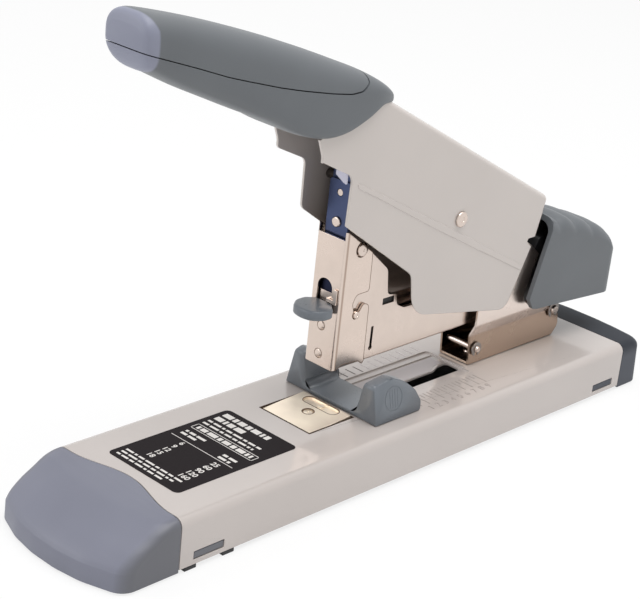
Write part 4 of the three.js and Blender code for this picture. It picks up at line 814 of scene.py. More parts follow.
def cap_tongue(y0, y1, snap):
    """Wings inside the skirt, with the tabs that show in its windows, and a ledge under the deck."""
    half = BASE_HALF - BASE_SHEET - GAP
    ceiling = DECK - BASE_SHEET - GAP
    parts = [box(-half + 8, half - 8, y0, y1, ceiling - CAP_WALL, ceiling)]
    tab = (snap + GAP, snap + SNAP_LENGTH - GAP, SNAP_LOW + GAP, SNAP_HIGH - GAP)
    for side in (-1, 1):
        wing = sorted((side * (half - CAP_WALL), side * half))
        tip = sorted((side * (half - 1), side * (BASE_HALF - 0.2)))
        parts += [box(*wing, y0, y1, SKIRT + 0.5, SNAP_HIGH + 6), box(*tip, *tab)]
    return join(*parts)


# The nose's profile as (depth below the deck, how far it is drawn back, how much of its bow is left).
NOSE = [
    (23.1, 0, 1),
    (15.4, 0.3, 1),
    (12.6, 2.3, 1),
    (8.9, 7, 1),
    (5.6, 12.8, 1),
    (3.2, 17.3, 0.9),
    (1.6, 21.3, 0.7),
    (0.6, 25.3, 0.4),
    (0, 32, 0.1),
]


def nose_block(inset, bottom):
    """The front cap's form, drawn in by inset: a rounded nose that bows forward in the middle."""
    def level(drop, back, bow):
        bend = max(BASE_EDGE - max(drop, 0), 0)
        edge = BASE_EDGE - math.sqrt(max(BASE_EDGE**2 - bend**2, 0))
        half = BASE_HALF - inset - edge
        front = NOSE_Y + inset + max(back, 0)
        corners = [
            (0.18 * half, front, 30),
            (0.53 * half, front + 2 * bow, 30),
            (half, front + 8.4 * bow, 8),
            (half, STEEL_FRONT + 10),
        ]
        return [(x, y, DECK - inset - drop) for x, y in even_outline(corners, 7)]

    rows = smooth_curve([Vector(row) for row in NOSE[1:]], 5)
    rings = [level(*row) for row in rows]
    return skin([level(DECK - inset - bottom, 0, 1), *rings])


def front_cap():
    """The hollow nose cap, lapping on to the deck, with its snap tabs."""
    shell = common(nose_block(0, CAP_FLOOR), ahead_of_deck(0, -5, DECK + 1))
    shell = cut(shell, nose_block(CAP_WALL, CAP_FLOOR - 1))
    return join(shell, cap_tongue(STEEL_FRONT - 4, SNAP_STARTS[0] + SNAP_LENGTH + 2, SNAP_STARTS[0]))


def tail_block(inset, bottom):
    """The rear cap's form: its rear wall leans forward as it rises, and the top edge is rounded."""

    def level(z, lean, edge):
        half = BASE_HALF - inset - edge
        rear = TAIL_Y - inset - lean - edge
        corners = [
            (-half, STEEL_REAR - 8),
            (half, STEEL_REAR - 8),
            (half, rear - 3.1, 7),
            (0.55 * half, rear - 0.9, 30),
            (0.2 * half, rear, 30),
            (-0.2 * half, rear, 30),
            (-0.55 * half, rear - 0.9, 30),
            (-half, rear - 3.1, 7),
        ]
        return [(x, y, z) for x, y in outline(corners, parts=8)]

    top = DECK - inset
    rings = [level(bottom, 0, 0), level(top - BASE_EDGE, 1.6, 0)]
    for k in range(1, 9):
        angle = math.pi / 2 * k / 8
        rise = BASE_EDGE * math.sin(angle)
        rings.append(level(top - BASE_EDGE + rise, 1.6 + 0.1 * k, BASE_EDGE * (1 - math.cos(angle))))
    return skin(rings)


def rear_cap():
    """The hollow rear cap with its snap tabs."""
    shell = cut(tail_block(0, CAP_FLOOR), tail_block(CAP_WALL, CAP_FLOOR - 1))
    shell = cut(shell, box(-50, 50, STEEL_REAR - 20, STEEL_REAR + GAP, -5, DECK + 5))
    return join(shell, cap_tongue(SNAP_STARTS[1] - 2, STEEL_REAR + 4, SNAP_STARTS[1]))


def anvil_top(y):
    """Height of the anvil's sloping face at a place along it."""
    along = (y - ANVIL_FRONT) / (ANVIL_REAR - ANVIL_FRONT)
    return DECK - 0.5 + along * (ANVIL_TOP - DECK + 0.5)


def clinching_groove(grow=0):
    """The outline of the hollow in the anvil that the staples' legs bend in."""
    front, rear = ANVIL_REAR - 6.8 - grow, ANVIL_REAR - 1 + grow
    return rounded(-10 - grow, 9.5 + grow, front, rear, 2.88 + 0.8 * grow)


def anvil():
    """The clinching anvil: a shallow wedge with a hollow and a stepped rivet hole."""
    floor = DECK - POCKET_DEPTH + GAP
    wedge = outline(
        [
            (ANVIL_FRONT, floor),
            (ANVIL_REAR, floor),
            (ANVIL_REAR, ANVIL_TOP, 0.5),
            (ANVIL_FRONT, anvil_top(ANVIL_FRONT), 0.5),
        ]
    )
    plan = rounded(-ANVIL_HALF, ANVIL_HALF, ANVIL_FRONT, ANVIL_REAR, 1.2)
    # a ridge parts the floor of the hollow into one clinching groove for each leg
    hollow_floor = ANVIL_TOP - 1.1
    ridge = rounded(-1.1, 1.1, ANVIL_REAR - 5.6, ANVIL_REAR - 2.2, 0.9)
    hollow = prism("z", clinching_groove(), hollow_floor, DECK + 3)
    return cut(
        common(prism("x", wedge, -ANVIL_HALF, ANVIL_HALF), prism("z", plan, 0, DECK + 5)),
        cut(hollow, prism("z", ridge, 0, hollow_floor + 0.7)),
        rod("z", ANVIL_RIVET, 1.5 + GAP, floor - 1, DECK + 2),
        rod("z", ANVIL_RIVET, 2.2 + GAP, anvil_top(ANVIL_RIVET[1]) - 1, DECK + 2),
    )


def plate_tabs():
    """The bottom plate's tabs, which show under the skirt on both sides."""
    tabs = []
    for start in (STEEL_FRONT - 3.2 + GAP, STEEL_FRONT + 16.8 + GAP):
        tabs.append(box(34, BASE_HALF - 0.05, start + 6, start + 12, 0.3, SKIRT - 0.1))
    tabs += [mirrored(tab) for tab in tabs]
    return gather(tabs)


def anvil_seat():
    """The dark rim round the pocket that the anvil lies in, a painted shadow in the gap round the anvil."""

    def block(grow, rise, top):
        plan = (-ANVIL_HALF - grow, ANVIL_HALF + grow, ANVIL_FRONT - grow, ANVIL_REAR + grow)
        return box(*plan, DECK - POCKET_DEPTH + rise, top)

    return cut(block(0.85, 0.1, DECK + 0.03), block(0.04, 0.2, DECK + 1))


def anvil_marks():
    """Painted shade: a dark line round the clinching groove and round the rivet's hole."""
    front_top = anvil_top(ANVIL_FRONT)
    slope = math.degrees(math.atan((anvil_top(ANVIL_REAR) - front_top) / (ANVIL_REAR - ANVIL_FRONT)))
    ring = cut(prism("z", clinching_groove(0.4), -0.3, 0.03), prism("z", clinching_groove(), -1, 1))
    hole = cut(rod("z", ANVIL_RIVET, 2.9, -0.3, 0.03), rod("z", ANVIL_RIVET, 2.4, -1, 1))
    marks = moved(join(ring, hole), y=-ANVIL_FRONT)
    return turned_by(marks, slope, "X", 0, ANVIL_FRONT, front_top)


def anvil_rivet():
    """The rivet that holds the anvil, with a dimple in its head."""
    top = anvil_top(ANVIL_RIVET[1]) - 0.25
    tail = room("anvil_rivet")[0].z
    profile = [(2.2, tail), (2.8, tail + 0.6), (2.8, tail + 1.2), (1.5, tail + 1.2), (1.5, top - 0.45)]
    profile += [(2.2, top - 0.45), (2.2, top - 0.25), (2, top - 0.08), (1.2, top), (0.5, top)]
    profile += [(0.4, top - 0.3), (0, top - 0.3)]
    return turned("z", ANVIL_RIVET, profile)


# ---------------------------------------------------------------- paper guide


def guide_ear(tail):
    """One hollow ear of the guide, up to its tail."""
    front = GUIDE_FRONT
    side = outline(
        [
            (front, GAP),
            (front + tail - 0.8, GAP, 1.5),
            (front + tail, 4.4, 4),
            (front + tail - 3.4, 10.2, 6),
            (front + tail - 9.8, 15.2, 9),
            (front + tail - 18.1, GUIDE_TOP, 9),
            (front, GUIDE_TOP - 1.6, 2),
        ],
        arc=0.12,
    )

    def section(inset):
        bottom = GAP - 1 if inset else GAP
        return outline(
            [
                (GUIDE_HALF - 0.7 + inset, bottom),
                (GUIDE_HALF + GUIDE_EAR + 0.6 - inset, bottom),
                (GUIDE_HALF + GUIDE_EAR - 3.4 - inset, GUIDE_TOP + 0.1 - inset, 1.2),
                (GUIDE_HALF + 2.9 + inset, GUIDE_TOP + 0.1 - inset, 1.2),
            ]
        )

    ear = common(prism("y", section(0), front, front + 36), prism("x", side, -40, 40))
    hollow = common(
        prism("y", section(1.8), front + 2, front + 34),
        moved(prism("x", side, -40, 40), y=-1.6, z=-1.8),
    )
    return ear, hollow


def paper_guide():
    """The sliding guide: two ears on a bar, and the rib and lug that run in the deck."""
    front = GUIDE_FRONT
    bar = box(-GUIDE_HALF - 2, GUIDE_HALF + 2, front, front + GUIDE_DEPTH, GAP, GUIDE_BAR)
    near, near_hollow = guide_ear(29.8)
    far, far_hollow = guide_ear(22)
    fillet_r = 3.6
    x = GUIDE_HALF + 0.2 - fillet_r
    fillet = cut(
        box(x, x + fillet_r + 1, front, front + GUIDE_DEPTH, GAP, GUIDE_BAR + fillet_r),
        rod("y", (x, GUIDE_BAR + fillet_r), fillet_r, front - 1, front + GUIDE_DEPTH + 1, 64),
    )
    lean = math.degrees(math.atan(4 / (GUIDE_TOP - 0.2)))
    face = GUIDE_HALF + GUIDE_EAR + 0.6 - 9.4 * math.tan(math.radians(lean))
    thumb = cut(rod("x", (0, 0), 5.6, -0.14, 3, 56), rod("x", (0, 0), 5.25, -2, -0.02, 56))
    grooves = [box(-0.1, 3, y - 0.2, y + 0.2, -4.2, 4.2) for y in (-2.4, -0.8, 0.8, 2.4)]
    thumb = turned_by(join(thumb, *grooves), -lean, "Y", face, front + 12, GAP + 9.4)
    rib = box(GROOVE[0] + GAP, GROOVE[1] - GAP, -14, 0, -1, 1)
    lug = box(SLOT["left"] + 0.8, SLOT["right"] - 0.9, -14, -2, -4.2, 1)
    body = cut(
        join(bar, near, mirrored(far), fillet, mirrored(fillet), rib, lug),
        near_hollow,
        mirrored(far_hollow),
    )
    drop(far)
    drop(far_hollow)
    round_edges(body, 0.28)
    return cut(body, thumb, mirrored(thumb))


# ---------------------------------------------------------------- bracket and its pins


def tangent_point(point, centre, radius, side):
    """Where a line from a point outside a circle touches it, on either side."""
    away = Vector(point) - Vector(centre)
    angle = math.atan2(away.y, away.x) + side * math.acos(radius / away.length)
    return (centre[0] + radius * math.cos(angle), centre[1] + radius * math.sin(angle))


def hinge_bracket():
    """The folded bracket: two arms that flare outwards above a crease, and a floor."""
    crease_h = MAGAZINE_PIVOT[1] + 0.3
    flared = crease_h + 6
    side = outline(
        [
            (BRACKET_IN, GAP, 0.6),
            (BRACKET_OUT, GAP),
            (BRACKET_OUT, crease_h, 3),
            (ARM_OUT, flared, 3),
            (ARM_OUT, 120),
            (ARM_IN, 120),
            (ARM_IN, flared + 0.3, 3),
            (BRACKET_IN, crease_h + 0.3, 3),
        ]
    )
    front = CROSS_ROD[0] - 4.8
    knee = (front, MAGAZINE_PIVOT[1] + 19.3)
    heel = (front + 34, HANDLE_PIVOT[1] - 24.6)
    boss = 9
    rear = MAGAZINE_PIVOT[0]
    profile = outline(
        [
            (front + 1.4, GAP - 1),
            (rear + 2, GAP - 1, 5),
            (rear + 7, GAP + 4.4, 4),
            (rear + 4.9, MAGAZINE_PIVOT[1]),
            (rear - 5, crease_h),
            (rear - 5, flared + 1, 2),
            (front + 40.7, flared + 0.5, 5),
            (front + 33, flared + 6.9, 5),
            (front + 41.2, heel[1] - 5.8, 1.6),
            (*heel, 4),
            tangent_point(heel, HANDLE_PIVOT, boss, 1),
            HANDLE_PIVOT,
            tangent_point(knee, HANDLE_PIVOT, boss, -1),
            (*knee, 8),
            (front, crease_h, 3),
        ]
    )
    wide = (-ARM_OUT - 1, ARM_OUT + 1)
    silhouette = join(prism("x", profile, *wide), rod("x", HANDLE_PIVOT, boss, *wide, 72))
    flank = common(prism("y", side, front - 60, rear + 12), silhouette)
    flank = join(flank, rod("x", MAGAZINE_PIVOT, 4.9, BRACKET_IN, BRACKET_OUT, 56))
    floor = box(-BRACKET_OUT, BRACKET_OUT, front + 1.4, rear + 3, GAP, GAP + BRACKET_SHEET)
    return cut(
        join(flank, mirrored(flank), floor),
        rod("x", HANDLE_PIVOT, HANDLE_ROD_R + GAP, *wide),
        rod("x", MAGAZINE_PIVOT, MAGAZINE_PIN_R + GAP, *wide),
        rod("x", CROSS_ROD, CROSS_ROD_R + GAP, *wide),
        *[rod("z", rivet, RIVET_R + GAP, -1, 3) for rivet in BRACKET_RIVETS],
    )


def bracket_rivet(centre):
    """A domed rivet that holds the bracket to the deck."""
    head = 2 * GAP + BRACKET_SHEET
    tail = -BASE_SHEET - GAP
    profile = [(2.2, tail - 1.2), (3, tail), (RIVET_R, tail), (RIVET_R, head), (3.4, head)]
    profile += [(3.25, head + 0.5), (2.8, head + 0.95), (2, head + 1.25), (1, head + 1.38), (0, head + 1.4)]
    return turned("z", centre, profile)


def clipped_pin(centre, r):
    """A pin across the bracket, headed on the far side and grooved for a clip on the near side."""
    face = BRACKET_OUT + GAP
    profile = [(r + 0.7, -face - 1.3), (r + 1.1, -face - 0.9), (r + 1.1, -face), (r, -face)]
    profile += [(r, face - 0.1), (r - 0.6, face - 0.1), (r - 0.6, face + 1.2), (r, face + 1.2)]
    profile.append((r - 0.4, face + 2))
    return turned("x", centre, profile)


def spring_clip(centre, r):
    """An E-shaped retaining clip in the pin's groove."""
    y, h = centre
    inner = r - 0.6 + GAP
    x0 = BRACKET_OUT + 2 * GAP
    ring = rod("x", centre, r + 1.8, x0, x0 + 0.6, 48)
    mouth = box(x0 - 1, x0 + 2, y - inner * 0.8, y + inner * 0.8, h - r - 4, h)
    bites = [rod("x", (y + side * inner, h + 0.4), 0.7, x0 - 1, x0 + 2, 20) for side in (-1, 1)]
    return cut(ring, rod("x", centre, inner, x0 - 1, x0 + 2), mouth, *bites)


def handle_rod():
    """The riveted rod that the handle turns on, with a dimple in each head."""
    face = FRAME_OUT + GAP
    head = 3.6
    half = [(HANDLE_ROD_R, face), (head, face), (head, face + 0.45), (head - 0.2, face + 0.75)]
    half += [(head - 0.6, face + 0.95), (head - 1.3, face + 1), (1.3, face + 1), (1.1, face + 0.75)]
    half.append((0, face + 0.75))
    return turned("x", HANDLE_PIVOT, [(r, -x) for r, x in reversed(half)] + half, 56)


def helix(centre, axis, length, radius, turns, per_turn=28):
    """The points of a coil from a centre along an axis."""
    way = Vector(axis)
    side = Vector((0, 1, 0)) if abs(way.x) > 0.5 else Vector((1, 0, 0))
    other = way.cross(side)
    points = []
    for i in range(round(turns * per_turn) + 1):
        angle = 2 * math.pi * i / per_turn
        along = length * i / (turns * per_turn)
        spoke = side * math.cos(angle) + other * math.sin(angle)
        points.append(Vector(centre) + way * along + radius * spoke)
    return points


def return_spring():
    """Torsion spring round the handle's rod: one leg on a bracket arm, the other under the web."""
    y, h = HANDLE_PIVOT
    half = ARM_IN - 3
    slope = math.atan(FRAME_SLOPE)
    reach = FRAME_RISE * math.cos(slope) - FRAME_SHEET - 1.1
    lead = [
        Vector((-ARM_IN + 1, y + 20, h - 29.6)),
        Vector((-ARM_IN + 1.6, y + 11, h - 16)),
        Vector((-half - 0.2, y + 4.6, h - 5)),
    ]
    trail = [
        Vector((half + 0.2, y + 4.4, h + 5)),
        Vector((half, y + reach * math.sin(slope), h + reach * math.cos(slope))),
    ]
    winding = helix((-half, y, h), (1, 0, 0), 2 * half, 3.8, 9)
    legs = [smooth_curve([*lead, winding[0]], 5)[:-1], smooth_curve([winding[-1], *trail], 5)[1:]]
    return tube([*legs[0], *winding, *legs[1]], 0.65)


def lift_spring():
    """The coil under the magazine that lifts it off the base."""
    low, high = room("lift_spring")
    start = (0, (low.y + high.y) / 2, low.z - DECK + COIL_WIRE / 2)
    return tube(helix(start, (0, 0, 1), high.z - low.z - COIL_WIRE, 3.55, 6), COIL_WIRE / 2)


def pusher_spring():
    """The coil on the pusher's rod."""
    low, high = room("pusher_spring")
    start = (0, low.y + COIL_WIRE / 2, (low.z + high.z) / 2 - DECK)
    coil = helix(start, (0, 1, 0), high.y - low.y - COIL_WIRE, high.x - COIL_WIRE / 2, 16, 20)
    return tube(coil, COIL_WIRE / 2, 8)


# ---------------------------------------------------------------- magazine and its head


def magazine():
    """The folded channel that holds the staples, with the head's walls in front and two hinge ears."""
    front = HEAD_FRONT + COVER_SHEET + GAP
    section = even_outline([(MAGAZINE_OUT, MAGAZINE_LOW, 1.2), (MAGAZINE_OUT, 95)])
    top = MAGAZINE_TOP
    profile = outline(
        [
            (front, HEAD_LOW),
            (front + 3, MAGAZINE_LOW - 1),
            (MAGAZINE_REAR, MAGAZINE_LOW - 1),
            (MAGAZINE_REAR, top, 3),
            (front + 42.8, top, 4),
            (front + 38, top + 2.4, 2),
            (front + 36.6, top + 7.9, 0.6),
            (front + 30.8, top + 8.8, 2.4),
            (front + 29, top + 21, 4),
            (front + 24.6, top + 24.8, 2),
            (front + 17, top + 31.4, 1),
            (front, HEAD_TOP - 1),
        ]
    )
    channel = cut(
        common(prism("y", section, front, MAGAZINE_REAR), prism("x", profile, -20, 20)),
        box(-MAGAZINE_IN, MAGAZINE_IN, front - 1, MAGAZINE_REAR + 1, MAGAZINE_LOW + MAGAZINE_SHEET, 100),
    )
    y, h = MAGAZINE_PIVOT
    ear = outline(
        [
            (MAGAZINE_REAR - 14, MAGAZINE_LOW + 6),
            (MAGAZINE_REAR - 10, MAGAZINE_LOW + 1),
            (y - 3.4, h - 2.8),
            (y + 4.4, h),
            (MAGAZINE_REAR, MAGAZINE_LOW + 6),
        ]
    )
    ears = [
        both_sides(ear, MAGAZINE_IN, MAGAZINE_OUT),
        rod("x", MAGAZINE_PIVOT, 4.4, MAGAZINE_IN, MAGAZINE_OUT),
        rod("x", MAGAZINE_PIVOT, 4.4, -MAGAZINE_OUT, -MAGAZINE_IN),
    ]
    sight = -4
    return cut(
        join(channel, *ears),
        rod("x", MAGAZINE_PIVOT, MAGAZINE_PIN_R + GAP, -10, 10),
        rod("x", UPPER_PIN, STUB_R + GAP, -10, 10),
        rod("x", LOWER_PIN, STUB_R + GAP, -10, 10),
        box(-MAGAZINE_IN, MAGAZINE_IN, front - 1, -23.5, MAGAZINE_LOW - 2, MAGAZINE_LOW + 2),
        box(-10, 10, front + 28, front + 35.5, top + 4.4, top + 7.4),
        box(-10, 10, sight - 0.75, sight + 0.75, MAGAZINE_LOW + 5, top - 4.5),
        rod("x", (sight - 0.1, MAGAZINE_LOW + 5.4), 1.1, -10, 10),
    )


def flap_outline():
    """The outline of the head cover's side flaps, with the hooked notch for the lower pin."""
    rear = HEAD_REAR
    y, h = LOWER_PIN
    return outline(
        [
            (HEAD_FRONT - 1, HEAD_LOW),
            (HEAD_FRONT + 3, HEAD_LOW + 0.8, 1),
            (HEAD_FRONT + 5.4, HEAD_LOW + 2.2, 2),
            (rear - 2.4, HEAD_LOW + 1.5, 3),
            (rear + 0.5, HEAD_LOW - 0.7, 0.6),
            (rear + 1.4, HEAD_LOW + 0.8, 0.4),
            (rear + 0.9, h + 3.4, 2.8),
            (rear - 2.9, h + 4.4, 1.5),
            (y + 1.9, h + 1.3, 0.4),
            (y - 1.3, h + 1, 0.4),
            (y - 2.7, h + 5.5, 2),
            (y - 1, h + 9.4, 3),
            (rear - 0.1, h + 9.6, 1.4),
            (rear - 0.3, HEAD_TOP - 12.6),
            (rear - 0.6, HEAD_TOP - 8.1, 0.5),
            (HEAD_FRONT + 1.1, HEAD_TOP + 3.7),
            (HEAD_FRONT - 1, HEAD_TOP + 3.7),
        ]
    )


def edge_lines():
    """Painted shade: dark lines along the edges of the head cover's flaps, and dark rings round its dimples
    and pins.
    """
    points = [Vector(point) for point in flap_outline()]
    inner = []
    for i, point in enumerate(points):
        way = points[(i + 1) % len(points)] - points[i - 1]
        inner.append(tuple(point - Vector((way.y, -way.x)).normalized() * 0.26))
    lines = cut(
        both_sides([tuple(point) for point in points], COVER_OUT - 0.2, COVER_OUT + 0.025),
        both_sides(inner, COVER_OUT - 2, COVER_OUT + 1),
        box(-20, 20, HEAD_FRONT - 5, HEAD_FRONT + 1.4, 0, 100),
        box(-20, 20, -60, 0, HEAD_TOP - 0.2, 100),
    )
    rings = []
    for centre in DIMPLES:
        ring = rod("y", centre, 2.25, HEAD_FRONT - 0.03, HEAD_FRONT + 0.3)
        rings.append(cut(ring, rod("y", centre, 1.95, HEAD_FRONT - 1, HEAD_FRONT + 1)))
    round_pin = rod("x", LOWER_PIN, 2.7, MAGAZINE_OUT - 0.2, MAGAZINE_OUT + 0.05)
    pin_shade_ring = cut(round_pin, rod("x", LOWER_PIN, 1.8, 0, 20))
    return join(lines, *rings, pin_shade_ring, mirrored(pin_shade_ring))


def head_cover():
    """The cover folded round the head's front, with its window, dimples and pin holes."""
    plan = even_outline([(COVER_OUT, HEAD_FRONT, 1.6), (COVER_OUT, HEAD_REAR + 3)])
    inner = even_outline([(COVER_IN, HEAD_FRONT + COVER_SHEET, 0.7), (COVER_IN, 5)])
    bent = cut(prism("z", plan, 10, 100), prism("z", inner, 0, 120))
    folded = common(bent, prism("x", flap_outline(), -20, 20))
    window = rounded(-5, 3.3, 44, 61.55, 0, 4.1)
    dimple = [(1.5, HEAD_FRONT - 0.38), (1.85, HEAD_FRONT - 0.2), (2, HEAD_FRONT + 0.5)]
    return cut(
        join(folded, *[turned("y", centre, dimple) for centre in DIMPLES]),
        box(-COVER_IN, COVER_IN, HEAD_FRONT - 1, HEAD_FRONT + 3, HEAD_TOP, 100),
        prism("y", window, HEAD_FRONT - 1, HEAD_FRONT + 2),
        rod("x", UPPER_PIN, 3.6, -20, 20, 56),
        rod("x", LOWER_PIN, 1.7 + GAP, -20, 20),
    )


def head_pin(centre, head_r, side):
    """A stub in one side wall of the magazine; its head holds the cover's flap."""
    rise = COVER_OUT + 0.9
    profile = [(STUB_R, MAGAZINE_IN + 0.2), (STUB_R, COVER_IN), (head_r, COVER_IN), (head_r, rise - 0.45)]
    profile += [(head_r - 0.12, rise - 0.2), (head_r - 0.4, rise), (0.6, rise)]
    profile += [(0.45, rise - 0.25), (0, rise - 0.25)]
    pin = turned("x", centre, profile, 48)
    if side > 0:
        return pin
    twin = mirrored(pin)
    drop(pin)
    return twin


def thumb_latch():
    """D-shaped thumb pad in front of the head, with a neck through the cover's window."""
    root = HEAD_FRONT - GAP
    low, high = 47, 51.5

    def level(z, inset):
        corners = [
            (-5.8 + inset, root, 1),
            (-8.7 + inset, root - 3.6, 3),
            (-8.7 + inset, root - 8.6, 5),
            (-5.4 + inset, root - 13.4 + inset, 5),
            (0, root - 14.6 + inset, 14),
            (5.4 - inset, root - 13.4 + inset, 5),
            (8.7 - inset, root - 8.6, 5),
            (8.7 - inset, root - 3.6, 3),
            (4.6 - inset, root, 1),
        ]
        return [(x, y, z) for x, y in outline(corners, parts=9)]

    edge = 1.1
    turns = [math.pi / 2 * k / 5 for k in range(6)]
    lower = [level(low + edge * (1 - math.cos(a)), edge * (1 - math.sin(a))) for a in turns]
    upper = [level(high - edge * (1 - math.sin(a)), edge * (1 - math.cos(a))) for a in turns]
    pad = skin([*lower, *upper])
    neck = box(-3.9, 1, root - 2, HEAD_FRONT + COVER_SHEET, low + 0.6, high - 0.5)
    return join(pad, neck)


def latch_plate():
    """The latch's tongue behind the cover, with an arm that comes out of the window and turns up."""
    front = HEAD_FRONT + COVER_SHEET + GAP
    outer = HEAD_FRONT - GAP - 0.6
    return join(
        box(-4.4, 2.8, front, front + 0.6, 42, 55.5),
        box(1.2, 2.6, outer, front + 0.6, 52, 53.6),
        box(1.2, 7, outer, outer + 0.6, 52, 53.6),
        box(5, 7, outer, outer + 0.6, 51.9, 58.6),
    )


# ---------------------------------------------------------------- driver


def driver_blade():
    """The blade that drives the staple out."""
    half = MAGAZINE_IN - GAP
    return cut(
        prism("y", rounded(-half, half, 45, DRIVER_TOP, 0, 1.5), BLADE_FRONT, BLADE_FRONT + DRIVER_SHEET),
        rod("y", DRIVER_STUD, 1.6, BLADE_FRONT - 1, BLADE_FRONT + 3),
        rod("y", DRIVER_RIVET, DRIVER_RIVET_R + GAP, BLADE_FRONT - 1, BLADE_FRONT + 3),
    )


def driver_carrier():
    """The plate behind the blade, with two slotted ears for the push bar."""
    bar_y, bar_h, bar_r = -21, 104, 2
    half = MAGAZINE_IN - 2 * GAP
    rear = CARRIER_FRONT + 0.8
    back = box(-half, half, CARRIER_FRONT, rear, DRIVER_TOP - 25, DRIVER_TOP + 3.5)
    lug = outline(
        [
            (CARRIER_FRONT, bar_h - 6),
            (bar_y + 9.5, bar_h - 6, 3),
            (bar_y + 9.5, bar_h + 5, 3),
            (CARRIER_FRONT, bar_h + 5),
        ]
    )
    slot = outline(
        [
            (rear, bar_h - bar_r - 0.8),
            (bar_y + 7.2, bar_h - bar_r - 0.8, 2),
            (bar_y + 7.2, bar_h + bar_r + 0.8, 2),
            (rear, bar_h + bar_r + 0.8),
        ]
    )
    return cut(
        join(back, both_sides(lug, half - 1, half)),
        prism("x", slot, -10, 10),
        rod("y", DRIVER_RIVET, DRIVER_RIVET_R + GAP, CARRIER_FRONT - 1, rear + 1),
        rod("y", DRIVER_STUD, 1.6, CARRIER_FRONT - 1, rear + 1),
    )


def driver_stud():
    """The bright stud in the blade's upper hole."""
    return rod("y", DRIVER_STUD, 1.45, BLADE_FRONT + 0.1, BLADE_FRONT + 1.6)


def driver_rivet():
    """The rivet that joins the blade and its carrier."""
    tail = CARRIER_FRONT + 0.8 + GAP
    face = BLADE_FRONT - GAP
    profile = [(1.7, face - 0.75), (2.1, face - 0.6), (2.3, face - 0.3), (2.3, face)]
    profile += [(DRIVER_RIVET_R, face), (DRIVER_RIVET_R, tail), (2, tail), (2, tail + 0.7)]
    return turned("y", DRIVER_RIVET, profile)


# ---------------------------------------------------------------- rear knob


KNOB_VALLEYS = (26, 40.5, 53.5, 71)  # between the finger rolls, ahead of the knob's rear end
ROLL_RISE = 0.4
ROLL_DIP = 1.7


def finger_roll(back):
    """How far the roof stands above its even line, or below it, with the finger rolls."""
    first = KNOB_VALLEYS[0]
    if back <= first:
        return -ROLL_DIP * max(0, 1 - (first - back) / 8) ** 2
    for near, far in zip(KNOB_VALLEYS, KNOB_VALLEYS[1:]):
        if back <= far:
            return ROLL_RISE - (ROLL_RISE + ROLL_DIP) * (2 * (back - near) / (far - near) - 1) ** 2
    return -ROLL_DIP


def knob_form(half, edge, rolls=0):
    """The knob's outer form for a half width and the radius of its roof's edges.

    rolls is the share of the finger rolls' height that it has.
    """
    side = outline(
        [
            (CORE_FRONT - 2, 29.4),
            (CORE_FRONT + 1.5, 24, 1.5),
            (CORE_FRONT + 5.1, 23.1),
            (KNOB_REAR - 45, 22),
            (KNOB_REAR, 18.7, 2),
            (KNOB_REAR, 32, 8),
            (KNOB_REAR - 2.5, 41, 8),
            (KNOB_REAR - 7, 49.4, 8),
            (KNOB_REAR - 15, 55.8, 12),
            (KNOB_REAR - 33, 62.4 + rolls, 16),
            (KNOB_REAR - 55, 67.8 + rolls, 20),
            (CORE_FRONT + 10.6, 69.2 + rolls, 3),
        ]
    )
    plan = rounded(-half, half, CORE_FRONT - 10, KNOB_REAR, 0, 9)
    crown = [(0, 38), (2.5, 41), (7, 49), (11, 52.6), (15, 55.4), (22, 58.8), (33, 62.2), (44, 65.4)]
    crown += [(55, 67.7), (64, 68.9), (80, 69.4)]
    rings = []
    for back, top in smooth_curve([Vector(row) for row in crown], 8):
        top += rolls * finger_roll(back)
        corners = [
            (-half, 0),
            (half, 0),
            (half, top - 1.4, edge),
            (half / 3, top, 30),
            (-half / 3, top, 30),
            (-half, top - 1.4, edge),
        ]
        rings.append([(x, KNOB_REAR - back, z) for x, z in outline(corners, parts=9)])
    return common(prism("x", side, -half, half), prism("z", plan, 0, 80), skin(rings))


def knob_hood():
    """The hollow shell of the knob, with finger rolls across its roof."""
    hollow = moved(knob_form(HOOD_OUT - KNOB_WALL, 6), y=-KNOB_WALL, z=-KNOB_WALL)
    screw = rod("y", (0, KNOB_SCREW_H), 1.4 + GAP, KNOB_REAR - 5, KNOB_REAR + 1)
    return cut(knob_form(HOOD_OUT, 8, 1), hollow, screw)


# ---------------------------------------------------------------- handle


def slope_bar(points, start, end):
    """An outline in [x, height across the slope], run from one [y, z] point to another."""
    way = Vector((0, end[0] - start[0], end[1] - start[1]))
    long = way.length
    way.normalize()
    across = way.cross(Vector((1, 0, 0)))
    rings = []
    for t in (0, long):
        rings.append([Vector((a, *start)) + across * b + way * t for a, b in points])
    return skin(rings)


def frame_bar(half, drop_by, edge, rear, front):
    """A bar under the frame's top line, set below it by a distance, with rounded upper edges."""
    section = round_box(half, -drop_by, -140, edge)
    return slope_bar(section, (rear, frame_top(rear)), (front, frame_top(front)))


def tongue_bar(section, past=0):
    """A section run along the handle's tongue, to a distance past its ends."""
    start, end = TONGUE_START + past, TONGUE_END - past
    return slope_bar(section, (start, tongue_top(start)), (end, tongue_top(end)))


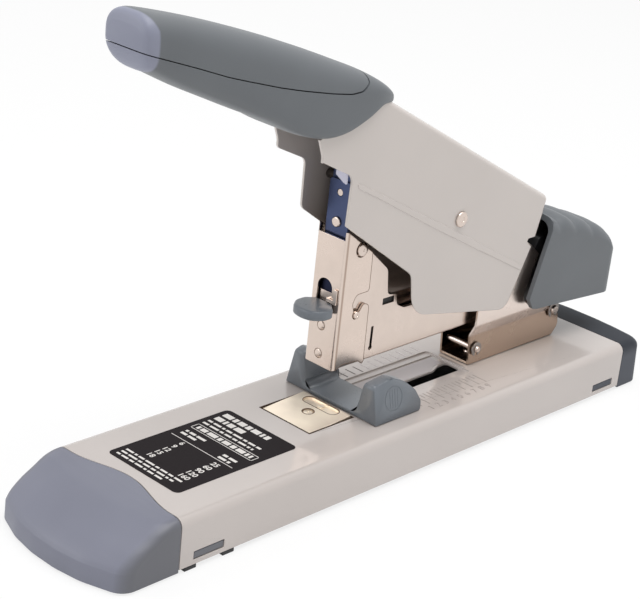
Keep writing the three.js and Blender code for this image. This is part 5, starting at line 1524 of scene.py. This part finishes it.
def handle_frame():
    """The folded frame of the handle, with a bead on each side and the tongue that the grip covers."""
    py, ph = HANDLE_PIVOT
    rear_top = (py + 62.8, frame_top(py + 62.8))
    ny, nh = FRAME_NOSE
    side = outline(
        [
            (ny - 39, nh - 11.3),
            (ny - 36, nh - 18.8, 6),
            (ny - 36.2, nh - 22, 3.5),
            (ny - 19, nh - 29.6, 4),
            (ny - 18.6, nh - 51, 4),
            (py - 29.3, ph - 20.1, 6),
            (py - 25.8, ph - 40.1, 14),
            (py + 42.4, ph - 53.1, 7),
            (py + 57.2, ph - 21.3, 2),
            (rear_top[0] + 0.6, rear_top[1] + 1, 4),
            FRAME_NOSE,
        ]
    )
    channel = common(
        cut(
            frame_bar(FRAME_OUT, 0, 2.8, py + 70, ny - 45),
            frame_bar(FRAME_IN, FRAME_SHEET, 1.6, py + 80, ny - 60),
        ),
        prism("x", side, -20, 20),
    )
    bead = outline(
        [
            (py - 71.1, ph + 29.2, 1),
            (py - 14.9, ph + 1.2, 20),
            (py + 51.4, ph - 32.7, 1),
            (py + 49.9, ph - 34.8, 1),
            (py - 14.1, ph - 2.7, 20),
            (py - 56.6, ph + 19.8, 10),
            (py - 70.1, ph + 26.6, 1),
        ]
    )
    beads = both_sides(bead, FRAME_OUT - 0.2, FRAME_OUT + 0.3)
    tongue = tongue_bar(round_box(TONGUE_HALF, 0, -TONGUE_DEPTH, 2))
    hollow = tongue_bar(round_box(TONGUE_HALF - FRAME_SHEET, -FRAME_SHEET, -20, 1), 5)
    step_back = outline(
        [
            (ny - 40, nh - 24),
            (ny - 35.6, nh - 21.1),
            (ny - 25.5, nh - 26.1),
            (ny - 17, nh - 30, 5),
            (ny - 17.8, nh - 52.2, 2.5),
            (ny - 14, nh - 55),
            (ny - 40, nh - 55),
        ]
    )
    notch = outline(
        [
            (py + 52.3, ph - 21.2, 0.5),
            (py + 52.9, ph - 19.7, 0.5),
            (py + 62, ph - 19.5),
            (py + 62, ph - 29.8),
        ]
    )
    return cut(
        join(channel, cut(tongue, hollow), beads),
        prism("x", step_back, FRAME_IN - 1, FRAME_OUT + 1),
        prism("x", notch, FRAME_IN - 1, FRAME_OUT + 1),
        rod("x", HANDLE_PIVOT, HANDLE_ROD_R + GAP, -20, 20),
        *[rod("z", (0, y), 2.2, 100, 190) for y in GRIP_SCREWS],
    )


def front_lip():
    """The turned-in lip at the step in the nearer plate's front edge, given a pale colour as a painted
    highlight.
    """
    y, h = FRAME_NOSE
    face = outline(
        [
            (FRAME_IN - 6.2, h - 25.4),
            (FRAME_IN - 0.1, h - 23.6),
            (FRAME_IN - 0.1, h - 33.4),
            (FRAME_IN - 1.6, h - 33, 1.2),
            (FRAME_IN - 6.2, h - 30.6),
        ]
    )
    return prism("y", face, y - 19.6, y - 18.6)


# Stations of the grip from its front end to its rear end, as (y, top, bottom, half width, how
# square the section's lower half is).
GRIP = [
    (-147.2, 183.8, 173.4, 9.6, 2.9),
    (-146, 187.1, 170, 11.6, 2.9),
    (-143.4, 188.3, 167.2, 12.5, 2.9),
    (-138, 187.6, 165, 12.9, 2.9),
    (-123, 184.2, 157.8, 13.6, 3),
    (-109, 180.6, 151.8, 14.4, 3.2),
    (-97, 177.2, 146.7, 15.1, 3.8),
    (-83, 173, 141, 15.9, 5),
    (-69, 168.5, 134.5, 16.6, 7),
    (-55, 163.7, 130.9, 17, 8),
    (-43, 159.3, 131.3, 17, 8),
    (-31, 154.8, 135.5, 16.8, 7),
    (-22, 150.6, 139.4, 15.6, 5),
    (-14.5, 146.2, 138.6, 12.6, 3.4),
    (-9.5, 142.4, 137.6, 8.4, 2.9),
    (-7.6, 140.6, 138.2, 5, 2.9),
]
GRIP_SQUARE = 2.9  # how square the section's upper half is


def moulding(stations, inset=0, sides=72):
    """The grip's form through its stations, drawn in by inset, with a squared oval for a section."""
    rings = []
    for y, top, bottom, half, square in smooth_curve([Vector(row) for row in stations], 6):
        middle = (top + bottom) / 2
        tall = (top - bottom) / 2 - inset
        ring = []
        for k in range(sides):
            angle = -2 * math.pi * k / sides
            c, s = math.cos(angle), math.sin(angle)
            power = 2 / (GRIP_SQUARE if s > 0 else square)
            x = math.copysign(abs(c) ** power, c) * (half - inset)
            z = math.copysign(abs(s) ** power, s) * tall
            ring.append((x, y, middle + z))
        rings.append(ring)
    return skin(rings)


def above_seam():
    """Everything above the seam between the two shells of the grip."""
    seam = [
        (-160, 178.6),
        (-148, 175.5, 20),
        (-138.6, 172.6, 20),
        (-124, 168, 30),
        (-109, 163, 30),
        (-98.8, 160.2, 30),
        (-82.8, 156, 30),
        (-72, 153.6, 30),
        (-55, 150.3, 30),
        (-44, 148.6, 10),
        (-37.8, 148.8, 6),
        (-33.2, 151.4, 3),
        (-29, 160),
        (-29, 220),
        (-160, 220),
    ]
    return prism("x", outline(seam), -30, 30)


def grip_hollow():
    """The room inside the grip, which gives way to the frame where that enters it."""
    inner = moulding(GRIP[2:-3], 2.2, 48)
    y, h = FRAME_NOSE
    around = [(y - 40, 100), (y + 57, 100), (y + 57, h + 1), (y + 1, h + 1), (y - 40, h - 10.6)]
    clear = frame_bar(FRAME_OUT + RUN, -RUN, 3.2, 20, y - 60)
    tongue = tongue_bar(round_box(TONGUE_HALF + RUN, RUN, -TONGUE_DEPTH - RUN, 2.2), RUN)
    return join(inner, common(clear, prism("x", around, -30, 30)), tongue)


def grip_halves():
    """The upper and the lower shell of the grip, with a fine gap along the seam."""
    form = moulding(GRIP)
    body = cut(form, grip_hollow())
    above = above_seam()
    lid = common(copy(body), moved(copy(above), y=-0.3, z=0.3))
    lower = cut(body, moved(above, y=0.3, z=-0.3))
    return lid, lower


# ---------------------------------------------------------------- printed panel and marks


def figures(text, size, x, y, turn, height, weight=0.0):
    """Plain numbers standing on the deck, as a thin solid."""
    line = bpy.data.curves.new("figures", "FONT")
    line.body = text
    line.size = size
    line.align_x = "CENTER"
    line.align_y = "CENTER"
    line.extrude = height / 2
    line.offset = weight
    line.resolution_u = 4
    work = bpy.data.objects.new("figures", line)
    bpy.context.scene.collection.objects.link(work)
    graph = bpy.context.evaluated_depsgraph_get()
    mesh = bpy.data.meshes.new_from_object(work.evaluated_get(graph))
    bpy.data.objects.remove(work)
    piece = bpy.data.objects.new("figures", mesh)
    bpy.context.scene.collection.objects.link(piece)
    return turned_by(piece, turn, "Z", x, y, height / 2)


def gather(pieces):
    """Several loose solids as one object."""
    first = pieces[0]
    work = bmesh.new()
    for piece in pieces:
        work.from_mesh(piece.data)
    work.to_mesh(first.data)
    work.free()
    for piece in pieces[1:]:
        drop(piece)
    return first


LABEL = {"half": 21.3, "front": -125.9, "rear": -59.1}


def label_panel():
    """The black panel on the deck."""
    half = LABEL["half"]
    plan = rounded(-half, half, LABEL["front"], LABEL["rear"], 2.6)
    return prism("z", plan, DECK + 0.02, DECK + 0.1)


def thin_frame(x0, x1, y0, y1, line, low, high):
    """A thin rectangular outline lying flat."""
    inner = box(x0 + line, x1 - line, y0 + line, y1 - line, low - 1, high + 1)
    return cut(prism("z", rounded(x0, x1, y0, y1, 0.9), low, high), inner)


def dashes(x0, x1, y, tall, low, high, start):
    """A row of short bars of changing length, where a line of small print would be."""
    bars = []
    lengths = [2.6, 4.4, 1.5, 3.4, 5.2, 2.1, 3.9]
    place, k = x0, start
    while place + 1 < x1:
        end = min(place + lengths[k % len(lengths)], x1)
        bars.append(box(place, end, y, y + tall, low, high))
        place = end + 0.9
        k += 1
    return bars


def label_print():
    """A generic ruled chart of plain numbers and bars."""
    low, high = DECK + 0.1, DECK + 0.13
    rear, front = LABEL["rear"], LABEL["front"]
    parts = dashes(-18.5, 9, rear - 6.3, 3.2, low, high, 4)
    parts += dashes(-18.5, -1, rear - 11.2, 3.2, low, high, 1)
    for k, y in enumerate((rear - 14.6, rear - 17.6)):
        parts += dashes(-18.5, 14 - 2 * k, y, 1.3, low, high, 3 * k)
    parts.append(thin_frame(-18.5, 18.5, rear - 24.4, rear - 19.4, 0.35, low, high))
    parts += dashes(-16.5, 16.5, rear - 23.2, 2.6, low, high, 2)
    for k, y in enumerate((rear - 28.6, rear - 31.4)):
        parts += dashes(-17, -5 - 3 * k, y, 1.5, low, high, k + 2)
        parts += dashes(8, 17 - k, y - 2, 1.5, low, high, k)
    parts.append(box(-18.5, 18.5, rear - 34.9, rear - 34.55, low, high))
    for k, (left, right) in enumerate(((6, 25), (9, 60), (12, 90), (15, 120), (18, 160))):
        y = rear - 38 - 4.2 * k
        parts.append(moved(figures(str(left), 3.9, -9, y + 0.6, 0, 0.03, 0.08), z=low))
        parts.append(moved(figures(str(right), 3.9, 12.5, y - 0.6, 0, 0.03, 0.08), z=low))
    for k, y in enumerate((front + 7.4, front + 4.9, front + 2.4)):
        parts += dashes(-18.5, 17 - 4 * k, y, 1.1, low, high, 2 * k + 1)
    return gather(parts)


def near_scale():
    """Raised measuring marks and plain numbers on the deck beside the guide."""
    low, high = DECK - 0.05, DECK + 0.12
    marks = [box(16.8, 25.4, y - 0.22, y + 0.22, low, high) for y in range(15, 64, 5)]
    marks += [box(16.8, 20.4, y + 2.3, y + 2.7, low, high) for y in range(15, 60, 5)]
    for k in range(9):
        marks.append(moved(figures(str(k + 1), 5, 28.6, 17.5 + 5 * k, 90, 0.12), z=DECK))
    return gather(marks)


def panel_inlay():
    """A pale sheet on the panel's floor between the groove and the slot: a painted highlight where the
    panel lies in shade.
    """
    left, right = GROOVE[1] + 0.2, SLOT["left"] - 0.5
    corners = [(left, -15), (right, -15), (right, 47), (-1.2, 53, 2), (-1.2, 59.5, 1), (left, 59.5, 1)]
    return prism("z", outline(corners), DECK - PANEL_DEPTH - 0.1, DECK - PANEL_DEPTH + 0.1)


def far_scale(first, last):
    """Measuring marks on the deck's far side, from one place to another."""
    marks = [box(-21, -14.6, y - 0.3, y + 0.3, DECK - 0.05, DECK + 0.08) for y in range(first, last, 5)]
    return gather(marks)


# ---------------------------------------------------------------- assembly

dress(base_steel(), "base_skirt_and_deck", "base", PAINT, ["base_channel"], 0.25, lift=0)
dress(front_cap(), "front_nose_cap", "base", CAP_LILAC, ["front_cap"], 0.25, lift=0)
dress(rear_cap(), "rear_end_cap", "base", CAP_GREY, ["rear_cap"], 0.25, lift=0)
dress(anvil(), "clinching_anvil", "base", ANVIL_STEEL, ["anvil_plate"], 0.2, lift=0)
dress(anvil_rivet(), "anvil_rivet_head", "base", ANVIL_STEEL, ["anvil_rivet"], 0, lift=0)
dress(label_panel(), "deck_label", "base", LABEL_BLACK, (), 0, lift=0)
dress(label_print(), "deck_label_print", "base", PRINT, (), 0, lift=0)
dress(near_scale(), "near_scale_marks", "base", PALE_PRINT, (), 0, lift=0)
dress(far_scale(9, 24), "far_scale_marks_front", "base", DARK_PRINT, (), 0, lift=0)
dress(far_scale(24, 64), "far_scale_marks_rear", "base", STRIP_WHITE, (), 0, lift=0)
dress(panel_inlay(), "panel_inlay", "base", STRIP_WHITE, (), 0, lift=0)
dress(anvil_seat(), "anvil_pocket_shadow", "base", SHADOW_STEEL, (), 0, lift=0)
dress(anvil_marks(), "anvil_edge_shade", "base", EDGE_SHADE, (), 0, lift=0)
dress(plate_tabs(), "bottom_plate_tabs", "base", BLACK, (), 0.1, lift=0)

dress(paper_guide(), "sliding_guide", "guide", GUIDE_GREY, ["paper_guide"], 0)

dress(hinge_bracket(), "folded_bracket", "base", BRACKET_NICKEL, ["hinge_bracket"], 0.15)
for k, rivet in enumerate(BRACKET_RIVETS, 1):
    dress(bracket_rivet(rivet), f"bracket_rivet_head_{k}", "base", NICKEL, [f"bracket_rivet_{k}"], 0)
rods = (
    (CROSS_ROD, CROSS_ROD_R, "cross_rod", "front_cross_rod", "front_rod_clip"),
    (MAGAZINE_PIVOT, MAGAZINE_PIN_R, "magazine_pin", "magazine_pivot_pin", "pivot_pin_clip"),
)
for centre, r, name, pin, _ in rods:
    dress(clipped_pin(centre, r), name, "base", NICKEL, [pin], 0)
for centre, r, name, _, clip in rods:
    dress(spring_clip(centre, r), f"{name}_clip", "base", DARK_STEEL, [clip], 0.08)
dress(handle_rod(), "handle_rod", "base", NICKEL, ["handle_pivot_rod"], 0)
dress(return_spring(), "handle_spring", "base", SPRING_WIRE, ["return_spring"], 0)

dress(magazine(), "magazine_trough", "magazine", NICKEL, ["magazine_channel"], 0.12)
dress(head_cover(), "head_cover_plate", "magazine", HEAD_NICKEL, ["head_cover"], 0.15)
dress(edge_lines(), "head_edge_shade", "magazine", EDGE_SHADE, (), 0)
for name, centre, r in (("upper_pin", UPPER_PIN, 3), ("lower_pin", LOWER_PIN, 1.7)):
    for side, hand in ((1, "right"), (-1, "left")):
        stub = head_pin(centre, r, side)
        dress(stub, f"{name}_head_{hand}", "magazine", NICKEL, [f"{name}_{hand}"], 0)
dress(thumb_latch(), "latch_pad", "latch", GUIDE_GREY, ["thumb_latch"], 0.3)
dress(latch_plate(), "latch_tongue", "latch", NICKEL, ["latch_plate"], 0.1)

dress(driver_blade(), "blued_driver", "driver", BLUED, ["driver_blade"], 0.12)
dress(driver_carrier(), "driver_yoke", "driver", BLUED, ["driver_carrier"], 0.12)
dress(driver_stud(), "driver_stud", "driver", NICKEL, (), 0.1)
dress(driver_rivet(), "driver_rivet_head", "driver", NICKEL, ["driver_rivet"], 0)

dress(knob_hood(), "loader_knob", "loader", KNOB_GREY, ["rear_knob_hood"], 0.3)

dress(handle_frame(), "folded_handle", "handle", FRAME_PAINT, ["handle_frame"], 0.15)
dress(front_lip(), "front_edge_lip", "handle", LIP_HIGHLIGHT, (), 0.2)
lid, lower = grip_halves()
dress(lid, "grip_lid", "handle", GRIP_GREY, ["grip_upper"], 0)
dress(lower, "grip_shell", "handle", GRIP_GREY, ["grip_lower"], 0)

keep(["bottom_plate", "guide_retainer", "knob_core", "staple_pusher"], BLACK)
keep(["foot_1", "foot_2", "foot_3", "foot_4"], RUBBER, 0.3)
keep(["staple_rail"], NICKEL, 0.1)
keep(["push_bar"], BAR_STEEL, 0.1)
keep(["knob_screw", "grip_screw_1", "grip_screw_2", "pusher_rod"], DARK_STEEL, 0.1)

lifter = dress(lift_spring(), "lifting_spring", "base", SPRING_WIRE, ["lift_spring"], 0)
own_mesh(lifter)
coil = dress(pusher_spring(), "staple_spring", "loader", SPRING_WIRE, ["pusher_spring"], 0)
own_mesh(coil)

# ---------------------------------------------------------------- camera, light and floor


def stand_camera():
    """The camera looks down at the object from its front right, a little rolled."""
    azimuth, elevation, roll = (math.radians(a) for a in (42.052, 22.375, 6.058))
    back = Vector(
        (
            math.sin(azimuth) * math.cos(elevation),
            -math.cos(azimuth) * math.cos(elevation),
            math.sin(elevation),
        )
    )
    right = Vector((math.cos(azimuth), math.sin(azimuth), 0))
    up = back.cross(right)
    side = right * math.cos(roll) + up * math.sin(roll)
    lens = bpy.data.cameras.new("camera")
    lens.lens = 97.42
    lens.sensor_width = 36
    lens.clip_start = 0.05
    lens.clip_end = 30
    camera = bpy.data.objects.new("camera", lens)
    turn = Matrix((side, back.cross(side), back)).transposed().to_4x4()
    camera.matrix_world = Matrix.Translation(Vector((452.08, -532.77, 354.70)) * MM) @ turn
    bpy.context.scene.collection.objects.link(camera)
    bpy.context.scene.camera = camera


def lamp(name, place, target, size, power):
    """A rectangular lamp, turned from its place towards a target."""
    light = bpy.data.lights.new(name, "AREA")
    light.shape = "RECTANGLE"
    light.size, light.size_y = size
    light.energy = power
    holder = bpy.data.objects.new(name, light)
    way = Vector(target) - Vector(place)
    holder.matrix_world = Matrix.Translation(place) @ way.to_track_quat("-Z", "Y").to_matrix().to_4x4()
    bpy.context.scene.collection.objects.link(holder)


def light_the_room():
    """A white room with a broad lamp above and a weaker one from the front left."""
    world = bpy.data.worlds.new("room")
    bpy.context.scene.world = world
    sky = Nodes(world)
    sky.fill(sky.tree.nodes["Background"], {"Color": (1, 1, 1, 1), "Strength": 0.4})
    sky.whiten("Background", "World Output", 1)
    lamp("key_light", (0.25, 0.1, 1.7), (0, 0, 0.08), (1.3, 1.3), 23)
    lamp("fill_light", (-0.9, -1.4, 0.8), (0, 0, 0.08), (1.2, 0.9), 7)


def lay_floor():
    """A wide white floor that keeps the object's shadow."""
    mesh = bpy.data.meshes.new("floor")
    reach = 6
    corners = [(-reach, -reach, 0), (reach, -reach, 0), (reach, reach, 0), (-reach, reach, 0)]
    mesh.from_pydata(corners, [], [(0, 1, 2, 3)])
    floor = bpy.data.objects.new("floor", mesh)
    bpy.context.scene.collection.objects.link(floor)
    white = bpy.data.materials.new("white_floor")
    matt = Nodes(white)
    look = {"Base Color": (0.97, 0.97, 0.97, 1), "Roughness": 0.9, "Specular IOR Level": 0.1}
    matt.fill(matt.tree.nodes["Principled BSDF"], look)
    matt.whiten("Principled BSDF", "Material Output", 0.8)
    mesh.materials.append(white)


stand_camera()
light_the_room()
lay_floor()
bpy.context.scene.view_settings.view_transform = "Standard"
